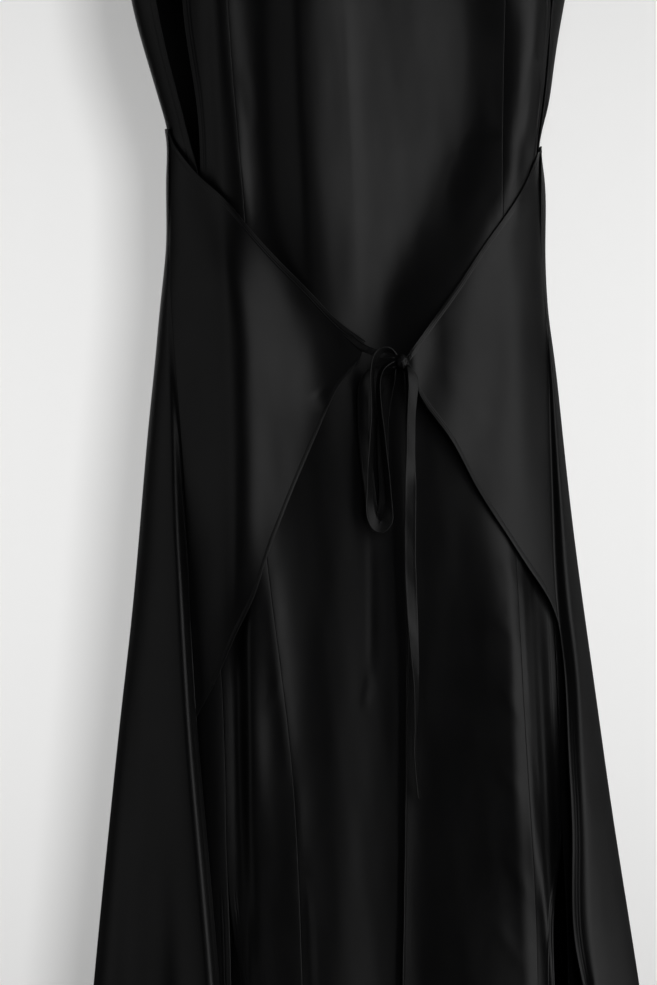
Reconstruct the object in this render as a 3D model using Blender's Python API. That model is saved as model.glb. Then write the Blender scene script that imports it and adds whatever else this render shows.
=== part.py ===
"""Sleeveless wrap dress of black satin: a full-length dress with princess seams and armholes open
to the waist, an overskirt set on its back at the waist, and two wings of the overskirt tied in
front with narrow ties.

The frame is in metres with +Z up. The front faces -Y, and the origin is the middle of the
shoulder line, where a wearer's shoulders hold the dress. Left is -X. Tables are in millimetres.
"""

import math

import bmesh
import bpy
import numpy as np

MM = 0.001
WALL = 1.2 * MM
HALF_GAP = 0.2 * MM  # each side of a seam stands back by this much
ROUNDNESS = 2.6  # exponent of the superelliptic sections
HEM = -1335  # height of the dress's hem, mm
OVERSKIRT_HEM = -1350
WAIST = -331  # height of the overskirt's top at centre back
NECK_HALF = 90  # half width of the neck opening, mm
FRONT_NECK_DROP = 95
BACK_NECK_DROP = 35
SHOULDER_SLOPE = 0.44  # drop of the shoulder seam per unit of width
SHOULDER_ROUND = 110  # height over which the top curves in to the shoulder line, mm
FRONT_BLEND = 0.35  # reach of the front's folds round the back panel's sides
FREE_EDGE_BLEND = 0.12  # reach of the side fold round the overskirt's side
BACK_BLEND = 0.5  # reach of the back's folds towards the sides
DRESS_FOLD_START = -400  # height at which the back's folds begin, mm
OVERSKIRT_FOLD_START = -345
FOLD_START_WIDTH = 0.55  # share of a back fold's reach where it begins
FOLD_GROWTH = 0.8
SIDE_FOLD_REACH = 26  # mm, outside the side fold's crest
DIP_REACH = 24  # mm, inside its dip
SHORTEST_DIP = 0.5  # mm
OVERSKIRT_TOP_BEND = (60, 150)  # the overskirt's top drops between these distances, mm
WING_BOW = 1.5
TOP_ROW_CROWDING = 1.6  # rows stand closer together near the shoulders
SEAM_CORNER = 2  # mm
NORMAL_STEP = 0.2  # mm
TURN_STEP = 0.002  # radians
SEARCH_STEPS = 40
SHARP_EDGE = 50  # degrees
TIE_WIDTH = 10 * MM
TIE_WALL = 1.0 * MM

# Columns and rows of each piece's grid.
FRONT_COLUMNS = (5, 18, 5)
BACK_COLUMNS = 29
OVERSKIRT_COLUMNS = (17, 11)
WING_COLUMNS = 15
WING_ROWS = 12
BELOW_WING_ROWS = 11

# Rows down the dress: height of each stop, and the rows between it and the one above.
BODICE_ROWS = [(-200, 6), (-331, 3), (-352, 1), (-385, 2)]
SKIRT_ROWS = [(-430, 1), (HEM, 17)]
BACK_SEAM = BODICE_ROWS[-1][0]  # the back's waist seam, under the overskirt

# Level sections of the dress: height, left side, right side, depth in front and at the back.
DRESS_SECTIONS = [
    (0, -192, 192, 60, 52),
    (-42, -188, 188, 68, 60),
    (-120, -196, 191, 80, 69),
    (-230, -192.5, 176, 87, 73),
    (-289, -176.5, 166.5, 82, 68),
    (-319, -167.6, 162, 78.5, 64.6),
    (-337, -162.8, 157.4, 76, 62.6),
    (-348, -161.2, 154.8, 74.5, 62),
    (-378, -160.2, 154.6, 72.5, 62.6),
    (-450, -160, 156, 74, 71),
    (-550, -165, 162, 80, 88),
    (-676, -172, 171, 86, 98),
    (-800, -177, 184, 92, 104),
    (-945, -181, 194, 98, 110),
    (-1065, -185, 202, 104, 116),
    (-1350, -194, 218, 115, 128),
]

# Level sections of the overskirt and the wings, in the same columns.
OVERSKIRT_SECTIONS = [
    (-310, -172.5, 166.8, 89, 68),
    (-337, -164.7, 159.3, 86.5, 64.8),
    (-348, -163.1, 156.9, 85.5, 64.4),
    (-378, -163.2, 158.8, 83.5, 66.4),
    (-438, -163.4, 159.8, 84.5, 76),
    (-467, -166, 160.5, 86, 84),
    (-497, -169.2, 162.6, 88, 91),
    (-527, -171.9, 166.6, 90, 97),
    (-587, -177.9, 173.4, 93, 106),
    (-676, -185.6, 183.2, 97, 115),
    (-765, -193.8, 195.0, 101, 122),
    (-825, -200.6, 203.4, 104, 126),
    (-914, -210, 215.9, 108, 131),
    (-973, -216, 225.0, 111, 135),
    (-1062, -224.6, 239.0, 115, 141),
    (-1200, -237, 259, 120, 150),
    (-1350, -252, 282, 126, 160),
]

# Guide lines of the front, from shoulder to hem: height, side of the dress.
FRONT_EDGE_LEFT = [
    (0, -196), (-42, -183), (-85, -163), (-120, -154), (-170, -150), (-230, -148.8), (-275, -143.5),
    (-315, -137.2), (-346, -134.5), (-385, -134), (-450, -136.5), (-550, -137), (-700, -124),
    (-811, -115), (-908, -112), (-998, -108.4), (-1065, -97.5), (-1350, -70),
]
FRONT_EDGE_RIGHT = [
    (0, 197), (-42, 183), (-85, 164), (-120, 157), (-170, 158), (-230, 163.2), (-275, 160.5),
    (-319, 156.2), (-362, 151.3), (-385, 150.8), (-450, 152), (-550, 155.5), (-662, 162),
    (-792, 167.6), (-900, 172.3), (-940, 172.4), (-998, 166), (-1065, 166.2), (-1350, 160),
]
# How far the back's side edges lie outside the front's: open at the armholes, sewn together
# between them and the slits (0), and open again down the slits.
SIDE_OPENING_LEFT = [
    (0, 0), (-42, 0), (-85, 26), (-120, 36), (-170, 32), (-230, 22.7), (-270, 19), (-306, 15.6),
    (-354, 7.4), (-378, 1.4), (-386, 0), (-400, 0), (-450, 0), (-700, 0), (-900, 0), (-970, 0),
    (-998, 1), (-1065, 9.8), (-1350, 42),
]
SIDE_OPENING_RIGHT = [
    (0, 0), (-42, 0), (-85, 23), (-120, 29), (-170, 19), (-230, 2), (-275, 1.8), (-319, 1.8),
    (-362, 1.6), (-378, 0.6), (-386, 0), (-400, 0), (-450, 0), (-700, 0), (-880, 0), (-925, 0),
    (-945, 1.5), (-998, 10.4), (-1065, 11.8), (-1350, 32),
]
PRINCESS_SEAM_LEFT = [
    (0, -131), (-120, -118), (-230, -110.5), (-315, -104.5), (-400, -97), (-560, -88),
    (-705, -77), (-860, -58), (-1065, -47), (-1350, -36),
]
PRINCESS_SEAM_RIGHT = [
    (0, 136), (-120, 129), (-230, 125), (-400, 123), (-560, 127), (-705, 134), (-860, 142),
    (-1065, 152), (-1350, 138),
]

# Folds of the front: height, place of the crest, lift (a trough is negative), and how far the
# fold reaches to its left and right.
FRONT_FOLDS = {
    "seam_ridge": [
        (-120, -118, 0, 18, 24), (-230, -112, 3.5, 18, 22), (-315, -106, 4, 18, 22),
        (-400, -99, 5, 16, 20), (-560, -90, 3, 16, 20), (-705, -79, 3.5, 14, 20),
        (-860, -60, 2.5, 14, 22), (-1065, -49, 2.5, 16, 24), (-1350, -40, 5, 20, 28),
    ],
    "centre_ridge": [
        (-90, -50, 4, 20, 50), (-230, -50, 11, 18, 48), (-315, -47, 12, 18, 48),
        (-400, -42, 12, 18, 46), (-485, -36, 7, 20, 36), (-600, -30, 2, 22, 34),
        (-790, -24, 1.5, 24, 30), (-925, -20, 1.5, 24, 30), (-1065, -16, 2, 26, 30),
        (-1350, -10, 6, 30, 34),
    ],
    "centre_trough": [
        (-90, 78, -2, 50, 40), (-230, 88, -9, 46, 30), (-315, 88, -10, 46, 30),
        (-400, 70, -11, 38, 40), (-485, 34, -8, 30, 56), (-600, 26, -5, 36, 66),
        (-790, 26, -5, 34, 66), (-925, 29, -5.5, 34, 66), (-1065, 32, -6.5, 36, 66),
        (-1350, 40, -12, 38, 60),
    ],
    "right_ridge": [
        (-120, 152, 0, 34, 20), (-230, 150, 7, 30, 12), (-315, 142, 7, 30, 12),
        (-400, 132, 5, 30, 12), (-560, 126, 4.5, 38, 12), (-705, 126, 5, 38, 11),
        (-790, 128, 5.5, 38, 11), (-925, 132, 5.5, 38, 12), (-1065, 140, 5.5, 40, 13),
        (-1350, 124, 9, 34, 24),
    ],
    "right_trough": [
        (-120, 140, 0, 10, 10), (-560, 132, 0, 10, 10), (-705, 139, -2.5, 10, 9),
        (-790, 144, -3, 10, 9), (-925, 150, -3, 10, 9), (-1065, 161, -2, 10, 9),
        (-1350, 150, 0, 10, 10),
    ],
}

# Folds down the hidden back of the dress: place at the waist and at the hem, lift at the hem,
# and reach at the hem.
DRESS_BACK_FOLDS = [
    (-110, -150, 7, 26), (-58, -82, 9, 30), (-2, -6, 7, 28), (52, 76, 9, 30), (104, 150, 7, 26),
]
OVERSKIRT_BACK_FOLDS = [
    (-132, -196, 14, 26), (-92, -134, 17, 30), (-48, -70, 14, 28), (-6, -8, 18, 32),
    (40, 58, 14, 28), (84, 126, 18, 30), (124, 192, 14, 26),
]

# The fold down each side of the overskirt in front: height, place and lift of its crest, place
# and depth of the dip beside it, where the wing is sewn on and the edge hangs free below.
SIDE_FOLD_LEFT = [
    (-310, -162, 0, -161, 0), (-400, -162.3, 0, -160.6, 0), (-462, -162.5, 0.5, -159.6, 0.5),
    (-510, -163.2, 5, -157, 3), (-586, -160, 9, -151, 5), (-666, -156, 11, -145.6, 6),
    (-728, -152, 12, -142.4, 6), (-774, -149, 12, -140.6, 6), (-848, -143.8, 13, -136, 6),
    (-942, -135.4, 13, -127.6, 6), (-1065, -124.2, 14, -117, 6), (-1350, -104, 17, -96, 7),
]
SIDE_FOLD_RIGHT = [
    (-310, 158, 0, 156.6, 0), (-400, 157.4, 0, 156, 0), (-480, 159.5, 0.5, 157.6, 0.5),
    (-510, 162.4, 4, 160.2, 2), (-586, 169, 7, 162.6, 4), (-662, 174.5, 9, 164.8, 5),
    (-750, 182.5, 10, 169, 5), (-792, 187.5, 11, 174, 6), (-867, 193, 12, 177.8, 6),
    (-942, 197.5, 12, 181, 6), (-1030, 200.8, 12, 183.2, 6), (-1065, 203, 12, 190, 5),
    (-1350, 238, 15, 222, 6),
]

# Edges of the wings, seen from the front: side, height. The first point of each is on the side
# fold's seam, and the last one is at the tip.
WING_TOP_LEFT = [
    (-161, -338), (-156.4, -351), (-149.6, -361), (-135.2, -378.3), (-115.6, -396),
    (-95.2, -420), (-67, -451.4), (-42.5, -476), (-12.8, -505.8), (6.8, -519.6),
]
WING_LOW_LEFT = [
    (-136.4, -838), (-117.3, -801.6), (-103.7, -770), (-88.4, -737.8), (-76.5, -701.3),
    (-67.2, -676.6), (-56.1, -648.6), (-42.5, -616.3), (-28, -582.3), (-20.4, -565.3),
    (-11, -550.8), (1, -537.4),
]
WING_TOP_RIGHT = [
    (156.4, -352.5), (150.5, -365.5), (139.4, -390.2), (128.4, -408), (108.8, -435.2),
    (87.6, -467.5), (57, -510), (40.2, -533.8),
]
WING_LOW_RIGHT = [
    (170.4, -763), (164.9, -745.5), (146.2, -714.9), (125, -682.6), (98.6, -640.9),
    (75.7, -599.3), (50.2, -561), (45.6, -548), (42, -542.4),
]

# Flat ties: side, height, distance in front of the shoulder line, and turn of the width about
# the tie's own run, in degrees (0 lies facing forward, 90 is edge-on).
TIE_LEAD = [
    (1.5, -523.6, 91.6, 2), (10, -528, 92.3, 8), (18, -531, 92.9, 14), (25, -533.2, 93.4, 40),
    (30.9, -534.4, 94.2, 84),
]
TIE_LOOP_FRONT = [
    (32.4, -531.4, 97.2, 80), (25.5, -527.4, 100.6, 64), (18, -528.6, 101.8, 66),
    (13, -538, 102.2, 70), (12, -556, 102.2, 72), (12.2, -588, 102.0, 74),
    (10.6, -616, 101.8, 66), (9.6, -648, 101.0, 60), (10.2, -662, 100.4, 44), (13.2, -673, 100.0, 26),
    (18.2, -677.4, 99.6, 8), (23, -675, 99.4, 14), (25.8, -666, 99.2, 40),
    (25.8, -652, 99.1, 58), (24, -632, 99.0, 60), (21.2, -606, 98.8, 62),
    (18.4, -580, 98.4, 66), (17, -560, 98.0, 70), (18.6, -548, 97.7, 72),
    (22.6, -541.2, 97.4, 74), (27, -538.8, 96.8, 78), (31, -537.4, 95.6, 86),
]
TIE_LOOP_BACK = [
    (31.2, -541.0, 93.2, 86), (26, -543.6, 90.0, 50), (15, -545, 87.6, 30),
    (7.4, -552, 86.8, 22), (4.4, -568, 86.8, 14), (5, -596, 87.0, 10),
    (7.8, -630, 87.4, 8), (10.4, -652, 88.4, 6), (13.8, -665, 89.4, 4), (18.2, -669, 90.2, 4),
    (21.6, -661, 90.0, 8), (22.6, -644, 89.2, 14), (21.4, -620, 88.2, 20),
    (21.4, -590, 87.4, 24), (25.6, -562, 88.2, 36), (32.2, -543.6, 92.0, 80),
]
TIE_TAIL_SHORT = [
    (41.8, -541.6, 97.6, 60), (45.8, -549.4, 99.6, 34), (46.6, -559, 100.2, 34),
    (45.4, -576, 100.4, 40), (44.7, -600, 100.4, 42), (44.4, -622, 100.4, 34),
    (44.3, -645, 100.4, 10), (44, -672, 100.4, 4), (44, -705, 100.6, 6), (45.2, -738, 101.0, 14),
    (47.4, -776, 102.2, 40), (49.2, -824, 104.0, 72), (48.8, -880, 105.6, 82),
    (52, -907, 106.2, 78),
]
TIE_TAIL_LONG = [
    (38.8, -545.8, 94.2, 84), (40.8, -560, 93.4, 78), (41.8, -600, 93.0, 78),
    (42.2, -680, 93.4, 80), (42, -774, 95.6, 82), (41, -900, 99.4, 84), (40, -980, 102.2, 82),
    (38.4, -1066, 105.4, 80), (37.6, -1104, 107.0, 76),
]
KNOT_CENTRE = (37.4, -95.0, -537.2)
KNOT_RADII = (5.8, 5.0, 7.4)
KNOT_PINCH = 0.16
KNOT_SEGMENTS = (16, 10)
GATHER = 12 * MM  # a tie narrows over this length into the knot
GATHERED_SHARE = 0.4

# Each tie: its name, its table and the rings along it.
TIES = [
    ("tie_lead", TIE_LEAD, 7), ("tie_loop_front", TIE_LOOP_FRONT, 34),
    ("tie_loop_back", TIE_LOOP_BACK, 30), ("tie_tail_short", TIE_TAIL_SHORT, 24),
    ("tie_tail_long", TIE_TAIL_LONG, 24),
]

SATIN = (0.006, 0.006, 0.0065, 1.0)
SATIN_ROUGHNESS = 0.36
FIRST_TINT = 0.85  # each piece's satin is a little lighter than the one before it
TINT_STEP = 0.04


def clear_scene():
    for obj in list(bpy.data.objects):
        bpy.data.objects.remove(obj, do_unlink=True)


def satin_material(name, tint):
    """Black satin, a little lighter or darker for each piece."""
    material = bpy.data.materials.new(name)
    material.use_nodes = True
    shader = material.node_tree.nodes["Principled BSDF"]
    shader.inputs["Base Color"].default_value = [c * tint for c in SATIN[:3]] + [1.0]
    shader.inputs["Roughness"].default_value = SATIN_ROUGHNESS
    shader.inputs["Metallic"].default_value = 0.0
    return material


def spline(places, values):
    """A natural cubic spline through the values at the given places, flat outside them."""
    order = np.argsort(places)
    x = np.asarray(places, float)[order]
    y = np.asarray(values, float)[order]
    step = np.diff(x)
    count = len(x)
    matrix = np.eye(count)
    right = np.zeros(count)
    for i in range(1, count - 1):
        matrix[i, i - 1] = step[i - 1]
        matrix[i, i] = 2 * (step[i - 1] + step[i])
        matrix[i, i + 1] = step[i]
        right[i] = 6 * ((y[i + 1] - y[i]) / step[i] - (y[i] - y[i - 1]) / step[i - 1])
    bend = np.linalg.solve(matrix, right)

    def at(place):
        place = np.clip(place, x[0], x[-1])
        i = np.clip(np.searchsorted(x, place) - 1, 0, count - 2)
        a = (x[i + 1] - place) / step[i]
        b = 1 - a
        curve = (a**3 - a) * bend[i] + (b**3 - b) * bend[i + 1]
        return a * y[i] + b * y[i + 1] + curve * step[i] ** 2 / 6

    return at


def table_splines(rows):
    """One spline over the first column for each other column of a table."""
    columns = list(zip(*rows))
    return [spline(columns[0], column) for column in columns[1:]]


def smoothstep(low, high, value):
    t = np.clip((value - low) / (high - low), 0, 1)
    return t * t * (3 - 2 * t)


DRESS = table_splines(DRESS_SECTIONS)
OVERSKIRT = table_splines(OVERSKIRT_SECTIONS)
FOLDS = {name: table_splines(rows) for name, rows in FRONT_FOLDS.items()}


def fold_lift(x, z):
    """How far the folds of the dress's front stand out at a place, mm."""
    total = np.zeros_like(np.asarray(x, float) + z)
    for crest, lift, left, right in FOLDS.values():
        away = x - crest(z)
        reach = np.where(away < 0, left(z), right(z))
        total = total + lift(z) * np.exp(-((away / reach) ** 2))
    return total


def shoulder_height(x):
    """Height of the shoulder seam over a place, mm."""
    return -SHOULDER_SLOPE * np.maximum(np.abs(x) - NECK_HALF, 0)


def top_height(x, neck_drop):
    """Height of the top edge: the shoulder seams, and the neckline between them."""
    scoop = -neck_drop * (1 - (np.minimum(np.abs(x), NECK_HALF) / NECK_HALF) ** 2)
    return shoulder_height(x) + scoop


def shoulder_curve(x, z):
    """Share of the full depth at a place: none on the shoulder seam, all of it further down."""
    down = np.clip((shoulder_height(x) - z) / SHOULDER_ROUND, 0, 1)
    return np.sqrt(1 - (1 - down) ** 2)


def section_point(sections, angle, z):
    """A place on a level section; angle 0 is centre back, +90 degrees the right side."""
    left, right, front, back = (column(z) for column in sections)
    s, c = np.sin(angle), np.cos(angle)
    power = 2 / ROUNDNESS
    x = (left + right) / 2 + (right - left) / 2 * np.sign(s) * np.abs(s) ** power
    y = np.where(c > 0, back, front) * np.sign(c) * np.abs(c) ** power
    return x, y


def front_angle(sections, x, z):
    """The angle from the side, in front, at which a section reaches a place, 0 at the side."""
    left, right = sections[0](z), sections[1](z)
    share = np.clip(np.abs(x - (left + right) / 2) / ((right - left) / 2), 0, 1)
    return np.arccos(share ** (ROUNDNESS / 2))


def front_depth(sections, x, z):
    """Distance of a section's front from the shoulder line's plane at a place."""
    left, right, front = sections[0](z), sections[1](z), sections[2](z)
    share = np.clip(np.abs(x - (left + right) / 2) / ((right - left) / 2), 0, 1)
    return front * (1 - share**ROUNDNESS) ** (1 / ROUNDNESS)


def dress_front(x, z):
    depth = front_depth(DRESS, x, z) + fold_lift(x, z)
    return np.stack([x, -depth * shoulder_curve(x, z), z], axis=-1)


def back_folds(table, x, z, waist, hem):
    """Lift of the folds down the back, growing from the waist to the hem."""
    fall = np.clip((waist - z) / (waist - hem), 0, 1)
    total = np.zeros_like(x)
    for at_waist, at_hem, lift, reach in table:
        crest = at_waist + (at_hem - at_waist) * fall
        width = reach * (FOLD_START_WIDTH + (1 - FOLD_START_WIDTH) * fall)
        total = total + lift * fall**FOLD_GROWTH * np.exp(-(((x - crest) / width) ** 2))
    return total


def dress_back(angle, z):
    """The back panel, round both sides to its edges in front."""
    x, y = section_point(DRESS, angle, z)
    front_share = smoothstep(0, FRONT_BLEND, -np.cos(angle))
    back_share = smoothstep(0, BACK_BLEND, np.cos(angle))
    y = y - front_share * fold_lift(x, z)
    y = y + back_share * back_folds(DRESS_BACK_FOLDS, x, z, DRESS_FOLD_START, HEM)
    return np.stack([x, y * shoulder_curve(x, z), z], axis=-1)


def side_fold_lift(fold, side, x, z):
    """The soft crest near the side of the overskirt and the dip on its inner side, mm."""
    crest, lift, dip, depth = (column(z) for column in fold)
    inward = side * (crest - x)
    span = np.maximum(side * (crest - dip), SHORTEST_DIP)
    outer = lift * np.exp(-((inward / SIDE_FOLD_REACH) ** 2))
    drop = smoothstep(0, 1, inward / span)
    beyond = np.exp(-((np.maximum(inward - span, 0) / DIP_REACH) ** 2))
    inner = lift * (1 - drop) - depth * drop * beyond
    return np.where(inward < 0, outer, inner)


def overskirt_front(fold, side, x, z):
    """A place of the overskirt or its wing in front of the side."""
    depth = front_depth(OVERSKIRT, x, z) + side_fold_lift(fold, side, x, z)
    return np.stack([x, -depth, z], axis=-1)


def overskirt_point(fold, side, angle, z):
    """A place of the overskirt, round the back and the side; angle 0 is centre back."""
    x, y = section_point(OVERSKIRT, side * angle, z)
    front_share = smoothstep(0, FREE_EDGE_BLEND, -np.cos(angle))
    back_share = smoothstep(0, BACK_BLEND, np.cos(angle))
    back = back_folds(OVERSKIRT_BACK_FOLDS, x, z, OVERSKIRT_FOLD_START, OVERSKIRT_HEM)
    y = y - front_share * side_fold_lift(fold, side, x, z) + back_share * back
    return np.stack([x, y, z], axis=-1)


def cloth_normals(point, across, step, z):
    """Unit normals of the surface point(across, z)."""
    wide = point(across + step, z) - point(across - step, z)
    tall = point(across, z + NORMAL_STEP) - point(across, z - NORMAL_STEP)
    normal = np.cross(wide, tall)
    return normal / np.linalg.norm(normal, axis=-1, keepdims=True)


def column_heights(place, top, stops, crowd):
    """Heights down one column of a panel: from its own top edge to each stop in turn."""
    low, high = float(stops[0][0]), 0.0
    for _ in range(SEARCH_STEPS):
        middle = (low + high) / 2
        if middle > top(place(middle)):
            high = middle
        else:
            low = middle
    heights = [low]
    for i, (stop, rows) in enumerate(stops):
        share = np.linspace(0, 1, rows + 1)[1:]
        heights.extend(heights[-1] + (stop - heights[-1]) * share ** (crowd if i == 0 else 1))
    return np.array(heights)


def thick_sheet(name, grid, normals, wall, material):
    """A closed wall round a grid of middle points (rows, columns, 3), in metres."""
    rows, columns = grid.shape[:2]
    skins = [grid + normals * (wall / 2), grid - normals * (wall / 2)]
    points = np.concatenate([skin.reshape(-1, 3) for skin in skins])
    per_skin = rows * columns

    def index(skin, row, column):
        return skin * per_skin + row * columns + column

    faces = []
    for row in range(rows - 1):
        for column in range(columns - 1):
            ring = [(row, column), (row, column + 1), (row + 1, column + 1), (row + 1, column)]
            faces.append([index(0, *corner) for corner in ring])
            faces.append([index(1, *corner) for corner in reversed(ring)])
    rim = [(0, c) for c in range(columns)]
    rim += [(r, columns - 1) for r in range(1, rows)]
    rim += [(rows - 1, c) for c in range(columns - 2, -1, -1)]
    rim += [(r, 0) for r in range(rows - 2, 0, -1)]
    for here, there in zip(rim, rim[1:] + rim[:1]):
        faces.append([index(0, *there), index(0, *here), index(1, *here), index(1, *there)])
    add_mesh(name, points, faces, material)


def square_shoulders(grid, normals, facing):
    """Ends a panel squarely on the shoulder seam's plane, its gap short of it; facing is -1 for
    the front and +1 for the back."""
    shoulder = np.abs(grid[0, :, 0]) > (NECK_HALF - SEAM_CORNER) * MM
    grid[0, shoulder, 1] = facing * HALF_GAP
    normals[0, shoulder, 1] = 0
    normals[0] /= np.linalg.norm(normals[0], axis=-1, keepdims=True)


def add_mesh(name, points, faces, material):
    """A closed mesh object with its faces turned out and its round parts shaded smooth."""
    mesh = bpy.data.meshes.new(name)
    mesh.from_pydata([tuple(point) for point in points], [], faces)
    shape = bmesh.new()
    shape.from_mesh(mesh)
    bmesh.ops.recalc_face_normals(shape, faces=shape.faces)
    if shape.calc_volume(signed=True) < 0:
        bmesh.ops.reverse_faces(shape, faces=shape.faces)
    shape.to_mesh(mesh)
    shape.free()
    mesh.shade_smooth()
    mesh.set_sharp_from_angle(angle=math.radians(SHARP_EDGE))
    mesh.materials.append(material)
    obj = bpy.data.objects.new(name, mesh)
    bpy.context.scene.collection.objects.link(obj)


def knots_to_places(knots, counts):
    """Fractional knot numbers of all columns, with so many columns between each two knots."""
    places = [0.0]
    for knot in range(len(knots) - 1):
        places += [knot + (i + 1) / counts[knot] for i in range(counts[knot])]
    return places


def front_grid(counts):
    """Middle points and normals of the whole front, and the columns at its princess seams."""
    guides = [table_splines(table)[0] for table in
              (FRONT_EDGE_LEFT, PRINCESS_SEAM_LEFT, PRINCESS_SEAM_RIGHT, FRONT_EDGE_RIGHT)]
    points, normals = [], []
    for place in knots_to_places(guides, counts):
        first = min(int(place), len(guides) - 2)
        share = place - first

        def across(z, first=first, share=share):
            return guides[first](z) * (1 - share) + guides[first + 1](z) * share

        z = column_heights(across, lambda x: top_height(x, FRONT_NECK_DROP),
                           BODICE_ROWS + SKIRT_ROWS, TOP_ROW_CROWDING)
        points.append(dress_front(across(z), z) * MM)
        normals.append(cloth_normals(dress_front, across(z), NORMAL_STEP, z))
    return np.stack(points, axis=1), np.stack(normals, axis=1), np.cumsum(counts)[:-1]


def pull_in(grid, at_start, at_end, distance):
    """Moves the first or last column of a panel along the cloth, away from its seam."""
    grid = grid.copy()
    for wanted, edge, inner in ((at_start, 0, 1), (at_end, -1, -2)):
        if wanted:
            step = grid[:, inner] - grid[:, edge]
            length = np.linalg.norm(step, axis=-1, keepdims=True)
            grid[:, edge] += step / length * distance
    return grid


def add_front(materials):
    grid, normals, cuts = front_grid(FRONT_COLUMNS)
    square_shoulders(grid, normals, -1)
    ends = [0, *cuts, grid.shape[1] - 1]
    names = ("front_side_left", "front_centre", "front_side_right")
    for name, start, end in zip(names, ends, ends[1:]):
        part = pull_in(grid[:, start : end + 1], True, True, HALF_GAP)
        thick_sheet(name, part, normals[:, start : end + 1], WALL, materials[name])


def back_grid(columns, top, rows, crowd):
    """Middle points and normals of the back between its top edge and the last stop of its rows,
    from its left edge in front round to its right."""
    edge_left, edge_right, open_left, open_right = (
        table_splines(table)[0] for table in
        (FRONT_EDGE_LEFT, FRONT_EDGE_RIGHT, SIDE_OPENING_LEFT, SIDE_OPENING_RIGHT)
    )
    points, normals = [], []
    for share in np.linspace(0, 1, columns):

        def angle(z, share=share):
            left = edge_left(z) - np.maximum(open_left(z), 0)
            right = edge_right(z) + np.maximum(open_right(z), 0)
            start = -math.pi / 2 - front_angle(DRESS, left, z)
            end = math.pi / 2 + front_angle(DRESS, right, z)
            return start + (end - start) * share

        def across(z, angle=angle):
            return section_point(DRESS, angle(z), z)[0]

        z = column_heights(across, top, rows, crowd)
        points.append(dress_back(angle(z), z) * MM)
        normals.append(cloth_normals(dress_back, angle(z), TURN_STEP, z))
    return np.stack(points, axis=1), np.stack(normals, axis=1)


def add_back(materials):
    """The back: a bodice, and a skirt from the waist seam down."""
    gap = HALF_GAP / MM
    above = BODICE_ROWS[:-1] + [(BACK_SEAM + gap, BODICE_ROWS[-1][1])]
    grid, normals = back_grid(BACK_COLUMNS, lambda x: top_height(x, BACK_NECK_DROP), above,
                              TOP_ROW_CROWDING)
    square_shoulders(grid, normals, 1)
    thick_sheet("back_bodice", pull_in(grid, True, True, HALF_GAP), normals, WALL,
                materials["back_bodice"])
    grid, normals = back_grid(BACK_COLUMNS, lambda x: BACK_SEAM - gap, SKIRT_ROWS, 1)
    thick_sheet("back_skirt", pull_in(grid, True, True, HALF_GAP), normals, WALL,
                materials["back_skirt"])


def overskirt_top(side, x):
    """Top edge of the overskirt round the back: a little lower at the sides."""
    at_side = (WING_TOP_LEFT if side < 0 else WING_TOP_RIGHT)[0][1]
    return WAIST + (at_side - WAIST) * smoothstep(*OVERSKIRT_TOP_BEND, np.abs(x))


def overskirt_grid(side, fold_rows, back_columns, front_columns, rows):
    """Middle points and normals from centre back round the side to the fold's dip."""
    fold = table_splines(fold_rows)
    front_shares = 1 + np.linspace(0, 1, front_columns + 1)[1:]
    points, normals = [], []
    for share in np.concatenate([np.linspace(0, 1, back_columns), front_shares]):

        def angle(z, share=share):
            reach = front_angle(OVERSKIRT, fold[2](z), z)
            return math.pi / 2 * min(share, 1) + reach * max(share - 1, 0)

        def across(z, angle=angle):
            return section_point(OVERSKIRT, side * angle(z), z)[0]

        def point(turn, z):
            return overskirt_point(fold, side, turn, z)

        z = column_heights(across, lambda x: overskirt_top(side, x), rows, 1)
        points.append(point(angle(z), z) * MM)
        normals.append(cloth_normals(point, angle(z), TURN_STEP, z))
    return np.stack(points, axis=1), np.stack(normals, axis=1)


def add_overskirt(materials):
    sides = (("overskirt_left", -1, SIDE_FOLD_LEFT), ("overskirt_right", 1, SIDE_FOLD_RIGHT))
    for name, side, fold_rows in sides:
        wing_end = (WING_LOW_LEFT if side < 0 else WING_LOW_RIGHT)[0][1]
        rows = [(wing_end, WING_ROWS), (OVERSKIRT_HEM, BELOW_WING_ROWS)]
        grid, normals = overskirt_grid(side, fold_rows, *OVERSKIRT_COLUMNS, rows)
        grid = pull_in(grid, True, True, HALF_GAP)
        thick_sheet(name, grid, normals, WALL, materials[name])


def edge_curve(points):
    """A smooth curve through the points of an edge, by its length from 0 to 1."""
    points = np.asarray(points, float)
    length = np.concatenate([[0], np.cumsum(np.linalg.norm(np.diff(points, axis=0), axis=1))])
    x, z = spline(length, points[:, 0]), spline(length, points[:, 1])
    return lambda share: np.stack([x(share * length[-1]), z(share * length[-1])], axis=-1)


def wing_grid(side, fold_rows, top_points, low_points):
    """Middle points of a wing: from its seam at the side to its tip, from top to lower edge."""
    fold = table_splines(fold_rows)
    top, low = edge_curve(top_points), edge_curve(low_points)
    along = np.linspace(0, 1, WING_COLUMNS)
    down = np.linspace(0, 1, WING_ROWS + 1)[:, None]
    upper, lower = top(along), low(along)
    flat = upper * (1 - down[..., None]) + lower * down[..., None]
    seam_z = upper[0, 1] + (lower[0, 1] - upper[0, 1]) * down
    seam_bow = fold[2](seam_z) - flat[:, :1, 0]
    x = flat[..., 0] + seam_bow * (1 - along) ** WING_BOW
    z = flat[..., 1]

    def point(x, z):
        return overskirt_front(fold, side, x, z)

    return point(x, z) * MM, cloth_normals(point, x, NORMAL_STEP, z)


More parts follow.
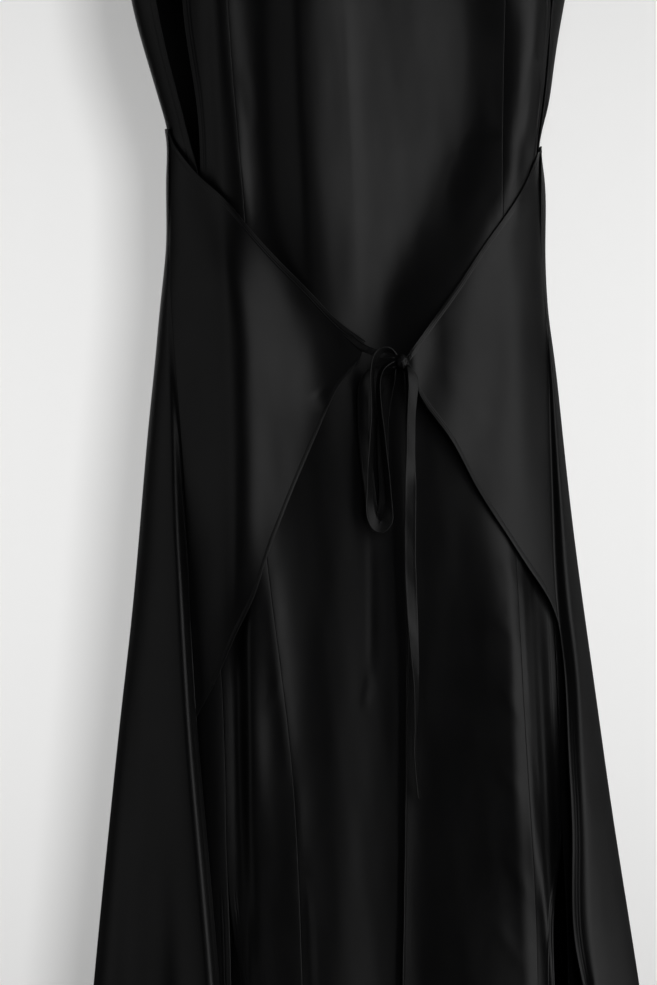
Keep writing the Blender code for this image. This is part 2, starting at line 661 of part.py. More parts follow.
def add_wings(materials):
    wings = (
        ("wing_left", -1, SIDE_FOLD_LEFT, WING_TOP_LEFT, WING_LOW_LEFT),
        ("wing_right", 1, SIDE_FOLD_RIGHT, WING_TOP_RIGHT, WING_LOW_RIGHT),
    )
    for name, side, fold_rows, top_points, low_points in wings:
        grid, normals = wing_grid(side, fold_rows, top_points, low_points)
        thick_sheet(name, pull_in(grid, True, False, HALF_GAP), normals, WALL, materials[name])


def tie_rings(table, steps):
    """Centres and width directions along a flat tie, in metres."""
    rows = np.asarray(table, float)
    points = np.stack([rows[:, 0], -rows[:, 2], rows[:, 1]], axis=1)
    length = np.concatenate([[0], np.cumsum(np.linalg.norm(np.diff(points, axis=0), axis=1))])
    at = np.linspace(0, length[-1], steps)
    centres = np.stack([spline(length, points[:, i])(at) for i in range(3)], axis=1) * MM
    turn = np.radians(spline(length, rows[:, 3])(at))
    run = np.gradient(centres, axis=0)
    run /= np.linalg.norm(run, axis=1, keepdims=True)
    forward = np.array([0.0, -1.0, 0.0])
    across = np.cross(run, forward)
    across /= np.linalg.norm(across, axis=1, keepdims=True)
    for i in range(1, steps):
        if np.dot(across[i], across[i - 1]) < 0:
            across[i] *= -1
    facing = np.cross(across, run)
    width = across * np.cos(turn)[:, None] + facing * np.sin(turn)[:, None]
    return centres, width, np.cross(width, run)


def gathered_share(centres):
    """Share of the full width along a tie: it is drawn narrow where it enters the knot."""
    away = np.linalg.norm(centres - np.array(KNOT_CENTRE) * MM, axis=1) - KNOT_RADII[0] * MM
    return GATHERED_SHARE + (1 - GATHERED_SHARE) * smoothstep(0, GATHER, away)


def add_tie(name, table, steps, material):
    centres, width, thickness = tie_rings(table, steps)
    share = gathered_share(centres)[:, None]
    half, wall = width * share * (TIE_WIDTH / 2), thickness * (TIE_WALL / 2)
    corners = [centres + half + wall, centres - half + wall]
    corners += [centres - half - wall, centres + half - wall]
    points = np.stack(corners, axis=1).reshape(-1, 3)
    faces = [[3, 2, 1, 0], [4 * steps - 4 + i for i in range(4)]]
    for ring in range(steps - 1):
        for i in range(4):
            j = (i + 1) % 4
            start, after = 4 * ring, 4 * ring + 4
            faces.append([start + i, start + j, after + j, after + i])
    add_mesh(name, points, faces, material)


def add_knot(material):
    shape = bmesh.new()
    around, along = KNOT_SEGMENTS
    bmesh.ops.create_uvsphere(shape, u_segments=around, v_segments=along, radius=1.0)
    points = np.array([vertex.co[:] for vertex in shape.verts])
    faces = [[vertex.index for vertex in face.verts] for face in shape.faces]
    shape.free()
    pinch = 1 - KNOT_PINCH * np.cos(3 * np.arctan2(points[:, 0], points[:, 2]))
    points = points * np.array(KNOT_RADII) * pinch[:, None] + np.array(KNOT_CENTRE)
    add_mesh("tie_knot", points * MM, faces, material)


def main():
    clear_scene()
    pieces = (
        "front_centre", "front_side_left", "front_side_right", "back_bodice", "back_skirt",
        "overskirt_left", "overskirt_right", "wing_left", "wing_right", "tie_lead", "tie_knot",
        "tie_loop_front", "tie_loop_back", "tie_tail_short", "tie_tail_long",
    )
    materials = {
        name: satin_material(name + "_satin", FIRST_TINT + TINT_STEP * i)
        for i, name in enumerate(pieces)
    }
    add_front(materials)
    add_back(materials)
    add_overskirt(materials)
    add_wings(materials)
    for name, table, steps in TIES:
        add_tie(name, table, steps, materials[name])
    add_knot(materials["tie_knot"])


main()
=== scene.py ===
"""Wrap dress of black satin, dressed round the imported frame: every panel is a thin shell on its
solid's form with its creases, hems, seams and stitches, and the flat ties hang as ribbons.

Everything is in the frame's own place, front facing -Y, left -X. Tables are in millimetres.
"""

import math
from functools import partial

import bpy
import numpy as np
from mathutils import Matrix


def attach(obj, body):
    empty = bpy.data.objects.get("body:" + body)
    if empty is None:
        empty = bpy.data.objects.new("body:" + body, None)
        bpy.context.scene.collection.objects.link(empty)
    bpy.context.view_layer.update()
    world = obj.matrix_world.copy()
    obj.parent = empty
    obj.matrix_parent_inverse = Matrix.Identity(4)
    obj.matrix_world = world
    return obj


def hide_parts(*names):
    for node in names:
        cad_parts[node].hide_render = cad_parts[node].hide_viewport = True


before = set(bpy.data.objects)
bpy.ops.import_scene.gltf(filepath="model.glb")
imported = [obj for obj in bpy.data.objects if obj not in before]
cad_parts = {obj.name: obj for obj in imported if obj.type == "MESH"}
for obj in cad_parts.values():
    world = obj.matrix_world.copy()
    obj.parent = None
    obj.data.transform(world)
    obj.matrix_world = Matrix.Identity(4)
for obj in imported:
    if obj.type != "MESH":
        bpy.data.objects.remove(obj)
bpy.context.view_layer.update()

MM = 0.001
ROUNDNESS = 2.6  # exponent of the superelliptic sections
HEM = -1335  # height of the dress's hem, mm
OUTER_HEM = -1350  # OUTER is the overskirt
WAIST = -331  # height of the overskirt's top at centre back
NECK_HALF = 90  # half width of the neck opening, mm
FRONT_NECK_DROP = 95
BACK_NECK_DROP = 35
SHOULDER_SLOPE = 0.44  # drop of the shoulder seam per unit of width
SHOULDER_ROUND = 110  # mm, height over which the top curves in to the shoulders
FRONT_BLEND = 0.35  # reach of the front's folds round the sides
FREE_EDGE_BLEND = 0.12  # reach of the side fold round them
BACK_BLEND = 0.5  # reach of the back's folds towards them
FOLD_START_WIDTH = 0.55  # share of a back fold's reach where it begins
FOLD_GROWTH = 0.8
CREASE_FADE = 0.3  # share of a crease over which each end fades
SIDE_FOLD_REACH = 26  # mm, outside the side fold's crest
DIP_REACH = 24  # mm, inside its dip
SHORTEST_DIP = 0.5  # mm
OUTER_TOP_BEND = (60, 150)  # where the overskirt's top drops, mm
WING_BOW = 1.5
WING_GAP = 2  # mm, least gap between the dress and the wings
WING_TUCK = 60  # mm, how far down they are drawn in towards it
WING_DRAW = 0.5  # how much of the gap closes at their upper edges
WING_TIP = 0.25  # share of a wing, at its tip, over which that fades
WING_SPACING = 180  # mm, length that a wing's columns are spaced for
WING_COLUMNS, WING_ROWS = 90, 80
WING_END = (2, -6)  # mm, past the wing, where the overskirt's edge becomes a hem
OPEN_HEM = (0.1, 1.2)  # mm, width of its opening where a side edge becomes a hem
TIE_WIDTH = 10 * MM
BACK_SEAM = -385  # the back's waist seam, under the overskirt

# Level sections of the dress: height, left side, right side, depth in front and at the back.
DRESS_SECTIONS = [
    (0, -192, 192, 60, 52), (-42, -188, 188, 68, 60), (-120, -196, 191, 80, 69),
    (-230, -192.5, 176, 87, 73), (-289, -176.5, 166.5, 82, 68), (-319, -167.6, 162, 78.5, 64.6),
    (-337, -162.8, 157.4, 76, 62.6), (-348, -161.2, 154.8, 74.5, 62), (-378, -160.2, 154.6, 72.5, 62.6),
    (-450, -160, 156, 74, 71), (-550, -165, 162, 80, 88), (-676, -172, 171, 86, 98),
    (-800, -177, 184, 92, 104), (-945, -181, 194, 98, 110), (-1065, -185, 202, 104, 116),
    (-1350, -194, 218, 115, 128),
]

# Level sections of the overskirt and the wings, in the same columns.
OUTER_SECTIONS = [
    (-310, -172.5, 166.8, 89, 68), (-337, -164.7, 159.3, 86.5, 64.8), (-348, -163.1, 156.9, 85.5, 64.4),
    (-378, -163.2, 158.8, 83.5, 66.4), (-438, -163.4, 159.8, 84.5, 76), (-467, -166, 160.5, 86, 84),
    (-497, -169.2, 162.6, 88, 91), (-527, -171.9, 166.6, 90, 97), (-587, -177.9, 173.4, 93, 106),
    (-676, -185.6, 183.2, 97, 115), (-765, -193.8, 195, 101, 122), (-825, -200.6, 203.4, 104, 126),
    (-914, -210, 215.9, 108, 131), (-973, -216, 225, 111, 135), (-1062, -224.6, 239, 115, 141),
    (-1200, -237, 259, 120, 150), (-1350, -252, 282, 126, 160),
]

# Guide lines of the front, from shoulder to hem: height, side of the dress.
FRONT_EDGE_LEFT = [
    (0, -196), (-42, -183), (-85, -163), (-120, -154), (-170, -150), (-230, -148.8), (-275, -143.5),
    (-315, -137.2), (-346, -134.5), (-385, -134), (-450, -136.5), (-550, -137), (-700, -124),
    (-811, -115), (-908, -112), (-998, -108.4), (-1065, -97.5), (-1350, -70),
]
FRONT_EDGE_RIGHT = [
    (0, 197), (-42, 183), (-85, 164), (-120, 157), (-170, 158), (-230, 163.2), (-275, 160.5),
    (-319, 156.2), (-362, 151.3), (-385, 150.8), (-450, 152), (-550, 155.5), (-662, 162), (-792, 167.6),
    (-900, 172.3), (-940, 172.4), (-998, 166), (-1065, 166.2), (-1350, 160),
]
# How far the back's side edges lie outside the front's: open at the armholes and down the slits,
# sewn together (0) between them.
SIDE_OPENING_LEFT = [
    (0, 0), (-42, 0), (-85, 26), (-120, 36), (-170, 32), (-230, 22.7), (-270, 19), (-306, 15.6),
    (-354, 7.4), (-378, 1.4), (-386, 0), (-400, 0), (-450, 0), (-700, 0), (-900, 0), (-970, 0),
    (-998, 1), (-1065, 9.8), (-1350, 42),
]
SIDE_OPENING_RIGHT = [
    (0, 0), (-42, 0), (-85, 23), (-120, 29), (-170, 19), (-230, 2), (-275, 1.8), (-319, 1.8),
    (-362, 1.6), (-378, 0.6), (-386, 0), (-400, 0), (-450, 0), (-700, 0), (-880, 0), (-925, 0),
    (-945, 1.5), (-998, 10.4), (-1065, 11.8), (-1350, 32),
]
PRINCESS_SEAM_LEFT = [
    (0, -131), (-120, -118), (-230, -110.5), (-315, -104.5), (-400, -97), (-560, -88), (-705, -77),
    (-860, -58), (-1065, -47), (-1350, -36),
]
PRINCESS_SEAM_RIGHT = [
    (0, 136), (-120, 129), (-230, 125), (-400, 123), (-560, 127), (-705, 134), (-860, 142),
    (-1065, 152), (-1350, 138),
]

# Folds of the front: height, place of the crest, lift (a trough is negative), reach to the left
# and right.
FRONT_FOLDS = {
    "seam_ridge": [
        (-120, -118, 0, 18, 24), (-230, -112, 3.5, 18, 22), (-315, -106, 4, 18, 22),
        (-400, -99, 5, 16, 20), (-560, -90, 3, 16, 20), (-705, -79, 3.5, 14, 20),
        (-860, -60, 2.5, 14, 22), (-1065, -49, 2.5, 16, 24), (-1350, -40, 5, 20, 28),
    ],
    "centre_ridge": [
        (-90, -50, 4, 20, 50), (-230, -50, 11, 18, 48), (-315, -47, 12, 18, 48),
        (-400, -42, 12, 18, 46), (-485, -36, 7, 20, 36), (-600, -30, 2, 22, 34),
        (-790, -24, 1.5, 24, 30), (-925, -20, 1.5, 24, 30), (-1065, -16, 2, 26, 30),
        (-1350, -10, 6, 30, 34),
    ],
    "centre_trough": [
        (-90, 78, -2, 50, 40), (-230, 88, -9, 46, 30), (-315, 88, -10, 46, 30), (-400, 70, -11, 38, 40),
        (-485, 34, -8, 30, 56), (-600, 26, -5, 36, 66), (-790, 26, -5, 34, 66),
        (-925, 29, -5.5, 34, 66), (-1065, 32, -6.5, 36, 66), (-1350, 40, -12, 38, 60),
    ],
    "right_ridge": [
        (-120, 152, 0, 34, 20), (-230, 150, 7, 30, 12), (-315, 142, 7, 30, 12), (-400, 132, 5, 30, 12),
        (-560, 126, 4.5, 38, 12), (-705, 126, 5, 38, 11), (-790, 128, 5.5, 38, 11),
        (-925, 132, 5.5, 38, 12), (-1065, 140, 5.5, 40, 13), (-1350, 124, 9, 34, 24),
    ],
    "right_trough": [
        (-120, 140, 0, 10, 10), (-560, 132, 0, 10, 10), (-705, 139, -2.5, 10, 9),
        (-790, 144, -3, 10, 9), (-925, 150, -3, 10, 9), (-1065, 161, -2, 10, 9),
        (-1350, 150, 0, 10, 10),
    ],
}

# Folds down the hidden backs: place at the waist and at the hem, lift and reach at the hem.
DRESS_BACK_FOLDS = [
    (-110, -150, 7, 26), (-58, -82, 9, 30), (-2, -6, 7, 28), (52, 76, 9, 30), (104, 150, 7, 26),
]
OUTER_BACK_FOLDS = [
    (-132, -196, 14, 26), (-92, -134, 17, 30), (-48, -70, 14, 28), (-6, -8, 18, 32), (40, 58, 14, 28),
    (84, 126, 18, 30), (124, 192, 14, 26),
]

# The fold down each side of the overskirt in front: height, place and lift of its crest, place
# and depth of the dip beside it, where the wing is sewn on and the edge hangs free below.
SIDE_FOLD_LEFT = [
    (-310, -162, 0, -161, 0), (-400, -162.3, 0, -160.6, 0), (-462, -162.5, 0.5, -159.6, 0.5),
    (-510, -163.2, 1.6, -157, 1.4), (-586, -160, 4, -151, 3), (-666, -156, 9, -145.6, 5),
    (-728, -152, 12, -142.4, 6), (-774, -149, 12, -140.6, 6), (-848, -143.8, 13, -136, 6),
    (-942, -135.4, 13, -127.6, 6), (-1065, -124.2, 14, -117, 6), (-1350, -104, 17, -96, 7),
]
SIDE_FOLD_RIGHT = [
    (-310, 158, 0, 156.6, 0), (-400, 157.4, 0, 156, 0), (-480, 159.5, 0.5, 157.6, 0.5),
    (-510, 162.4, 4, 160.2, 2), (-586, 169, 7, 162.6, 4), (-662, 174.5, 9, 164.8, 5),
    (-750, 182.5, 10, 169, 5), (-792, 187.5, 11, 174, 6), (-867, 193, 12, 177.8, 6),
    (-942, 197.5, 12, 181, 6), (-1030, 200.8, 12, 183.2, 6), (-1065, 203, 12, 190, 5),
    (-1350, 238, 15, 222, 6),
]

# Edges of the wings, seen from the front, from the side fold's seam to the tip: side, height.
WING_TOP_LEFT = [
    (-161, -338), (-156.4, -351), (-149.6, -361), (-135.2, -378.3), (-115.6, -396), (-95.2, -420),
    (-67, -451.4), (-42.5, -476), (-12.8, -505.8), (6.8, -519.6),
]
WING_LOW_LEFT = [
    (-136.4, -838), (-117.3, -801.6), (-103.7, -770), (-88.4, -737.8), (-76.5, -701.3), (-67.2, -676.6),
    (-56.1, -648.6), (-42.5, -616.3), (-28, -582.3), (-20.4, -565.3), (-11, -550.8), (1, -537.4),
]
WING_TOP_RIGHT = [
    (156.4, -352.5), (150.5, -365.5), (139.4, -390.2), (128.4, -408), (108.8, -435.2), (87.6, -467.5),
    (57, -510), (40.2, -533.8),
]
WING_LOW_RIGHT = [
    (170.4, -763), (164.9, -745.5), (146.2, -714.9), (125, -682.6), (98.6, -640.9), (75.7, -599.3),
    (50.2, -561), (45.6, -548), (42, -542.4),
]

# Flat ties: side, height, distance in front of the shoulder line, and turn of the width about
# the tie's own run, in degrees (0 lies facing forward, 90 is edge-on). The lead is sewn on behind
# the wing's tip.
TIE_LEAD = [
    (-12, -511.8, 88.2, 0), (-5, -518.1, 90.2, 0), (1.5, -523.6, 91.6, 2), (10, -528, 92.3, 8),
    (18, -531, 92.9, 14), (25, -533.2, 93.4, 40), (30.9, -534.4, 94.2, 84),
]
TIE_LOOP_FRONT = [
    (32.4, -531.4, 97.2, 80), (25.5, -527.4, 100.6, 64), (18, -528.6, 101.8, 66), (13, -538, 102.2, 70),
    (12, -556, 102.2, 72), (12.2, -588, 102, 74), (10.6, -616, 101.8, 66), (9.6, -648, 101, 60),
    (10.2, -662, 100.4, 44), (13.2, -673, 100, 26), (18.2, -677.4, 99.6, 8), (23, -675, 99.4, 14),
    (25.8, -666, 99.2, 40), (25.8, -652, 99.1, 58), (24, -632, 99, 60), (21.2, -606, 98.8, 62),
    (18.4, -580, 98.4, 66), (17, -560, 98, 70), (18.6, -548, 97.7, 72), (22.6, -541.2, 97.4, 74),
    (27, -538.8, 96.8, 78), (31, -537.4, 95.6, 86),
]
TIE_LOOP_BACK = [
    (31.2, -541, 93.2, 86), (26, -543.6, 90, 50), (15, -545, 87.6, 30), (7.4, -552, 86.8, 22),
    (4.4, -568, 86.8, 14), (5, -596, 87, 10), (7.8, -630, 87.4, 8), (10.4, -652, 88.4, 6),
    (13.8, -665, 89.4, 4), (18.2, -669, 90.2, 4), (21.6, -661, 90, 8), (22.6, -644, 89.2, 14),
    (21.4, -620, 88.2, 20), (21.4, -590, 87.4, 24), (25.6, -562, 88.2, 36), (32.2, -543.6, 92, 80),
]
TIE_TAIL_SHORT = [
    (41.8, -541.6, 97.6, 60), (45.8, -549.4, 99.6, 34), (46.6, -559, 100.2, 34),
    (45.4, -576, 100.4, 40), (44.7, -600, 100.4, 42), (44.4, -622, 100.4, 34), (44.3, -645, 100.4, 10),
    (44, -672, 100.4, 4), (44, -705, 100.6, 6), (45.2, -738, 101, 14), (47.4, -776, 102.2, 40),
    (49.2, -824, 104, 72), (48.8, -880, 105.6, 82), (52, -907, 106.2, 78),
]
TIE_TAIL_LONG = [
    (38.8, -545.8, 94.2, 84), (40.8, -560, 93.4, 78), (41.8, -600, 93, 78), (42.2, -680, 93.4, 80),
    (42, -774, 95.6, 82), (41, -900, 99.4, 84), (40, -980, 102.2, 82), (38.4, -1066, 105.4, 80),
    (37.6, -1104, 107, 76),
]
KNOT_CENTRE = np.array([37.4, -95, -537.2])
KNOT_RADII = np.array([5.8, 5, 7.4])
GATHER = 12 * MM  # a tie narrows over this length into the knot
GATHERED_SHARE = 0.4

# Camera: the picture's frame is 558 by 837 mm at the dress, seen straight on.
VIEW_CENTRE = np.array([-0.025, -0.045, -0.648])
VIEW_HEIGHT = 0.8373
VIEW_DISTANCE = 10.0
SENSOR = 36.0

# Cloth, in mm.
WALL = 0.8
SEAM_GAP = 0.06
EDGE_STEPS = np.array([0, 0.4, 1, 2, 3.4, 4.5, 5.1, 5.7, 6.3, 6.9, 7.8, 9.4, 12])  # of a grid
HEM_BAND = 6.5
HEM_STEP = (HEM_BAND - 0.5, HEM_BAND + 0.4)  # its turned-in edge
STITCH_ROWS = (1.6, HEM_BAND - 1.3)  # its two rows of stitches
HEM_LIFTS = ((0.55, 0.38), (0.3, 0.2))  # out and in: height of the band, depth of a row
HEM_EDGE = 0.3  # how much its edge thins
GROOVE = 0.5  # reach of a row and of the edge
SEAM_LIFTS = [(-0.07, 0, 0.8), (0.05, 4, 4), (0.06, 4, 5)]  # lift, distance, reach
PUCKER_LENGTH, PUCKER_DRIFT, PUCKER_CHANGE = 5.1, 1.4, 23
STITCHED_SHARE = 0.6  # least share of a hem with stitches
SHORTEST_RUN = 8  # least length of a stitched row, in lines of the grid
STITCH_PITCH = 2.7
STITCH_LENGTH = 1.9
STITCH_RADIUS = 0.17
STITCH_RISE = 0.12
STITCH_LOOK = 0.5  # how far behind and ahead a stitch follows its row
STITCH_RINGS = [(-0.5, 0.25), (-0.3, 1), (0.3, 1), (0.5, 0.25)]  # place, share of the radius

# Grids of the panels.
LEVELS = 150  # heights at which columns are spaced
DENSE = 600  # points measured across, there
HIGHEST = 2.0  # mm, above the dress
TOP_ROWS_DOWN = 200  # mm, depth of the rows near the top
TOP_ROW_CROWDING = 1.8
SEARCH_STEPS = 40

# Flat ties and their knot.
RIBBON = [
    (-1, 0.12), (-0.95, 0.46), (-0.84, 0.56), (-0.74, 0.42), (-0.4, 0.38), (0, 0.37), (0.4, 0.38),
    (0.74, 0.42), (0.84, 0.56), (0.95, 0.46), (1, 0.12),
]  # across a tie: place as a share of its half width, half thickness in mm
CRUMPLE = 1.1  # mm, where a tie is gathered
RIPPLE = 0.12  # mm, all along it
TIES = {
    "tie_loop_front": (TIE_LOOP_FRONT, 170, "object"),
    "tie_loop_back": (TIE_LOOP_BACK, 160, "object"),
    "tie_tail_short": (TIE_TAIL_SHORT, 170, "bare"),
    "tie_tail_long": (TIE_TAIL_LONG, 220, "bare"),
}  # route, rings along it, far end
LEAD_RINGS = 60
LEAD_SHARE = 0.62  # of a tie's full width
KNOT_WRAPS = [
    # direction the wrap goes round, its half width and its stand off the knot, mm
    ((0.25, 0.1, 0.96), 2.2, 0.3), ((0.93, 0.2, 0.3), 2, 0.4), ((-0.5, 0.25, 0.83), 1.9, 0.5),
]
WRAP_SHAPE = [(-1, 0.1), (-0.6, 0.75), (0, 0.95), (0.6, 0.75), (1, 0.1), (0, -0.6)]  # in the same
WRAP_STEPS = 64
KNOT_ROWS, KNOT_TURNS = 24, 40
KNOT_CORE, KNOT_WRAP = 0.76, 0.78  # shares of the knot's radii

# The stage.
FLOOR_HEIGHT = -1.42
FLOOR_HALF = 6
WALL_PLACE = 0.205
WALL_HALF = 4.0
WALL_TOP = 2.6
# The wall's emission is painted light standing in for a bright room's fill: brightest at the view's
# middle height, with a painted falloff above and below.
WALL_PAINTED_LIGHT = 0.48
WALL_PAINTED_FALLOFF = 0.55  # how fast the painted light falls off above and below the middle, per m2
LEAST_PAINTED_LIGHT = 0.2
WORLD_LIGHT = 0.009
# Soft boxes round the dress: azimuth (0 before it, 90 at its right) and elevation in degrees,
# distance, width and height in metres, power in watts, and what they light.
LIGHTS = [
    ("key_low", 60, -19, 3.2, 3.8, 1.9, 23, "gloss"),
    ("key_high", 50, 17, 3.2, 2.7, 2.5, 21, "gloss"),
    ("side", 104, -26, 2.8, 1.4, 1.5, 12, "gloss"),
    ("left", -85, 4, 3.2, 4.2, 4.4, 10, "gloss"),
    ("behind_right", 150, 28, 3.2, 1.6, 2, 10, "gloss"),
    ("behind_left", -165, 20, 3.2, 1.2, 2, 5, "gloss"),
    ("room", 9, 14, 3.4, 0.7, 0.7, 96, "diffuse"),
]

# Creases of the dress's front: x and height of the top and of the bottom, sideways bow, lift (a
# trough is negative), reach to the left and right.
DRESS_CREASES = [
    (-15.5, -180, -2, -520, 3, 1.2, 12, 7), (-14, -200, -3, -420, 2, 0.28, 3, 4),
    (-124, -150, -108, -460, 0, 10, 10, 20), (-50, -120, -40, -490, 0, 9, 34, 50),
    (150, -330, 40, -560, 0, 10, 40, 30), (157, -200, 132, -430, 0, 6, 14, 8),
    (-90, -560, -87, -1420, -2, 8, 8, 32), (-90, -560, -88, -960, -2, 5, 7, 14),
    (-140, -620, -108, -1400, 0, 9, 12, 22), (141, -640, 157, -1010, 0, -6, 4, 20),
    (152, -890, 190, -1250, 0, -6, 4, 20), (139, -640, 155, -1010, 0, 9, 32, 6),
    (150, -890, 188, -1250, 0, 9, 32, 6), (139, -640, 155, -1010, 0, 2, 10, 6),
    (150, -890, 188, -1250, 0, 2, 10, 6), (160, -450, 216, -1400, 0, 5, 22, 18),
    (175, -640, 192, -1400, 0, 11, 45, 14), (149, -700, 165, -1030, 0, 8, 20, 6),
    (160, -900, 198, -1260, 0, 8, 20, 6), (-104, -300, -93, -440, 0, 0.88, 7, 5),
    (104, -540, 112, -1400, 0, 5, 50, 30), (26, -560, 32, -1400, 0, 2.5, 34, 16),
    (-75.5, -700, -56, -900, -2, 0.94, 6, 8), (-66, -800, -80, -838, 2, 0.44, 4, 5),
    (-53, -880, -49, -960, 1, 0.5, 4, 6), (-57, -966, -33, -967, 0, 0.33, 3, 4),
    (-44.2, -968, -38, -1090, 1, 0.39, 3, 3.5), (10.2, -670, 10.4, -815, 1, -0.5, 3, 4),
    (11, -798, 4, -833, 0, 0.39, 3, 4), (-100, -735, -88.4, -1065, -3, -3.4, 8, 5),
    (-88.4, -1040, -80, -1350, 0, -3.4, 9, 6), (118, -700, 142, -742, 2, 0.61, 5, 6),
    (114, -752, 140, -784, 2, 0.5, 5, 6), (119, -812, 143, -852, 2, 0.66, 5, 7),
    (116, -880, 141, -912, 2, 0.5, 5, 6), (121, -948, 146, -996, 2, 0.61, 5, 7),
    (112, -1010, 140, -1052, 2, 0.5, 6, 6), (136, -705, 150, -900, -2, -0.77, 3, 2.5),
    (148, -860, 166, -1070, 2, -0.77, 3, 2.5), (64, -560, 60, -900, 4, 0.55, 14, 18),
    (52, -820, 56, -1240, -4, -0.66, 16, 14), (-28, -700, -14, -1200, 5, 0.72, 12, 16),
    (-36, -580, -30, -780, -3, -0.55, 12, 14), (88, -960, 96, -1335, 6, 0.88, 18, 14),
    (-60, -1060, -52, -1335, 3, 0.83, 12, 12), (24, -1080, 34, -1335, 3, -0.99, 12, 12),
    (-98, -285, -92, -345, 2, 0.44, 5, 5), (-104, -350, -94, -402, -1, 0.5, 4, 5),
    (-90, -250, -72, -330, 4, -0.39, 12, 10), (40, -150, 58, -330, 4, 0.5, 14, 12),
    (96, -120, 118, -300, 4, 0.44, 14, 12), (-60, -110, -50, -220, 3, 0.44, 14, 12),
    (20, -110, 30, -250, -3, 0.39, 12, 12),
]

# Creases of the wings and of the overskirt's two sides.
WING_CREASES_LEFT = [
    (-114, -330, -97, -800, 6, 10, 36, 58), (-113, -345, -98, -780, 5, 9, 28, 22),
    (-118, -345, -103, -780, 5, 2.2, 4, 22), (-94, -370, -76, -720, 3, 6.5, 50, 32),
    (-56, -400, -34, -600, 6, -3.2, 20, 24), (-36, -560, -24, -580, 0, -0.9, 7, 7),
    (-60, -470, 0, -532, 4, 0.9, 7, 8), (-140, -372, -112, -470, 5, -1, 12, 12),
    (-146, -500, -128, -700, -5, 1.2, 12, 16), (-8, -540, -44, -640, -4, 0.8, 8, 8),
    (-120, -600, -112, -780, 4, 1.2, 14, 16), (-88, -520, -66, -660, -5, -0.8, 12, 14),
]
WING_CREASES_RIGHT = [
    (44, -470, 62, -660, 0, 6, 14, 40), (108, -420, 78, -545, -6, 1.4, 18, 20),
    (118, -440, 98, -640, 5, -1.6, 18, 18), (136, -410, 132, -720, 6, 1.8, 18, 20),
    (132, -412, 129, -446, 2, 0.7, 5, 5), (147, -380, 151, -412, 1, 0.6, 4, 5),
    (60, -530, 108, -600, 5, 0.5, 10, 10), (152, -470, 156, -640, -3, -1.1, 8, 9),
    (92, -480, 52, -535, 3, -0.3, 9, 9),
]
OUTER_CREASES_LEFT = [
    (-172, -520, -186, -820, 4, 1.2, 8, 10), (-188, -760, -196, -1180, -4, -2, 9, 8),
    (-168, -860, -172, -1330, 4, 1.8, 10, 10), (-150, -980, -146, -1340, -3, -1.6, 8, 8),
    (-212, -960, -226, -1340, 3, 2.2, 8, 9),
]
OUTER_CREASES_RIGHT = [
    (174, -720, 192, -1400, 0, 20, 8, 20), (172, -520, 190, -760, 3, 1.2, 6, 7),
    (190, -700, 212, -1060, 4, -1.6, 6, 6), (204, -880, 228, -1340, -4, 1.8, 7, 7),
    (222, -1000, 246, -1340, 3, -1.6, 6, 7),
]

# Creases of the backs.
BACK_CREASES = [
    (-70, -180, -96, -330, 6, 1.6, 16, 18), (64, -150, 92, -330, -6, 1.5, 16, 18),
    (-20, -200, -34, -332, 4, -1.2, 14, 14), (26, -210, 34, -332, -4, 1, 14, 14),
    (-120, -100, -132, -300, 5, 1.2, 14, 14), (118, -110, 130, -290, -5, 1.1, 14, 14),
    (0, -90, 4, -260, 6, 0.9, 20, 20), (-50, -60, 40, -80, -6, -0.9, 9, 9),
]
OUTER_BACK_CREASES = [
    (-110, -336, -128, -520, 4, 1.4, 8, 9), (-70, -336, -84, -640, -4, 1.6, 9, 9),
    (-30, -336, -36, -560, 3, 1.2, 8, 9), (22, -336, 30, -620, -3, 1.5, 9, 9),
    (66, -336, 84, -560, 4, 1.3, 8, 9), (104, -336, 122, -620, -4, 1.4, 9, 9),
    (-150, -700, -176, -1340, 6, -2.2, 14, 12), (-100, -760, -108, -1340, -6, -2.4, 12, 14),
    (-30, -700, -34, -1340, 5, -2.2, 13, 12), (30, -820, 34, -1340, -5, -2, 12, 13),
    (92, -740, 98, -1340, 6, -2.4, 13, 12), (150, -780, 166, -1340, -6, -2, 12, 12),
]

# Slow unevenness of all the cloth: lift, wavelength across and down, phase.
WAVES = [
    (0.10, 74, 310, 0.4), (0.08, -58, 360, 2.1), (0.06, 43, -340, 4), (0.045, 31, 210, 1.2),
    (0.03, -23, 160, 5.2), (0.02, 17, 120, 3.3),
]

OUTER_SHIFT = 11  # mm, place of the overskirt's front in the waves
# Backs: folds, creases, height at which the folds begin, hem, place in the waves.
DRESS_BACK = (DRESS_BACK_FOLDS, BACK_CREASES, -400, HEM, 37)
OUTER_BACK = (OUTER_BACK_FOLDS, OUTER_BACK_CREASES, -345, OUTER_HEM, -23)


# ---- curves and lifts ----

def bell(away, reach):
    """1 in the middle, falling off softly over the reach."""
    return np.exp(-((away / reach) ** 2))


def smoothstep(low, high, value):
    t = np.clip((value - low) / (high - low), 0, 1)
    return t * t * (3 - 2 * t)


def unit(vectors):
    return vectors / np.maximum(np.linalg.norm(vectors, axis=-1, keepdims=True), 1e-9)


def path_length(points, axis=0):
    """Length of a path up to each of its points; several paths may lie side by side."""
    steps = np.linalg.norm(np.diff(points, axis=axis), axis=-1)
    return np.insert(np.cumsum(steps, axis=axis), 0, 0, axis=axis)


def between(at, run, values):
    """The values at a distance, or several, between those given along a run."""
    return np.stack([np.interp(at, run, column) for column in values.T], axis=-1)


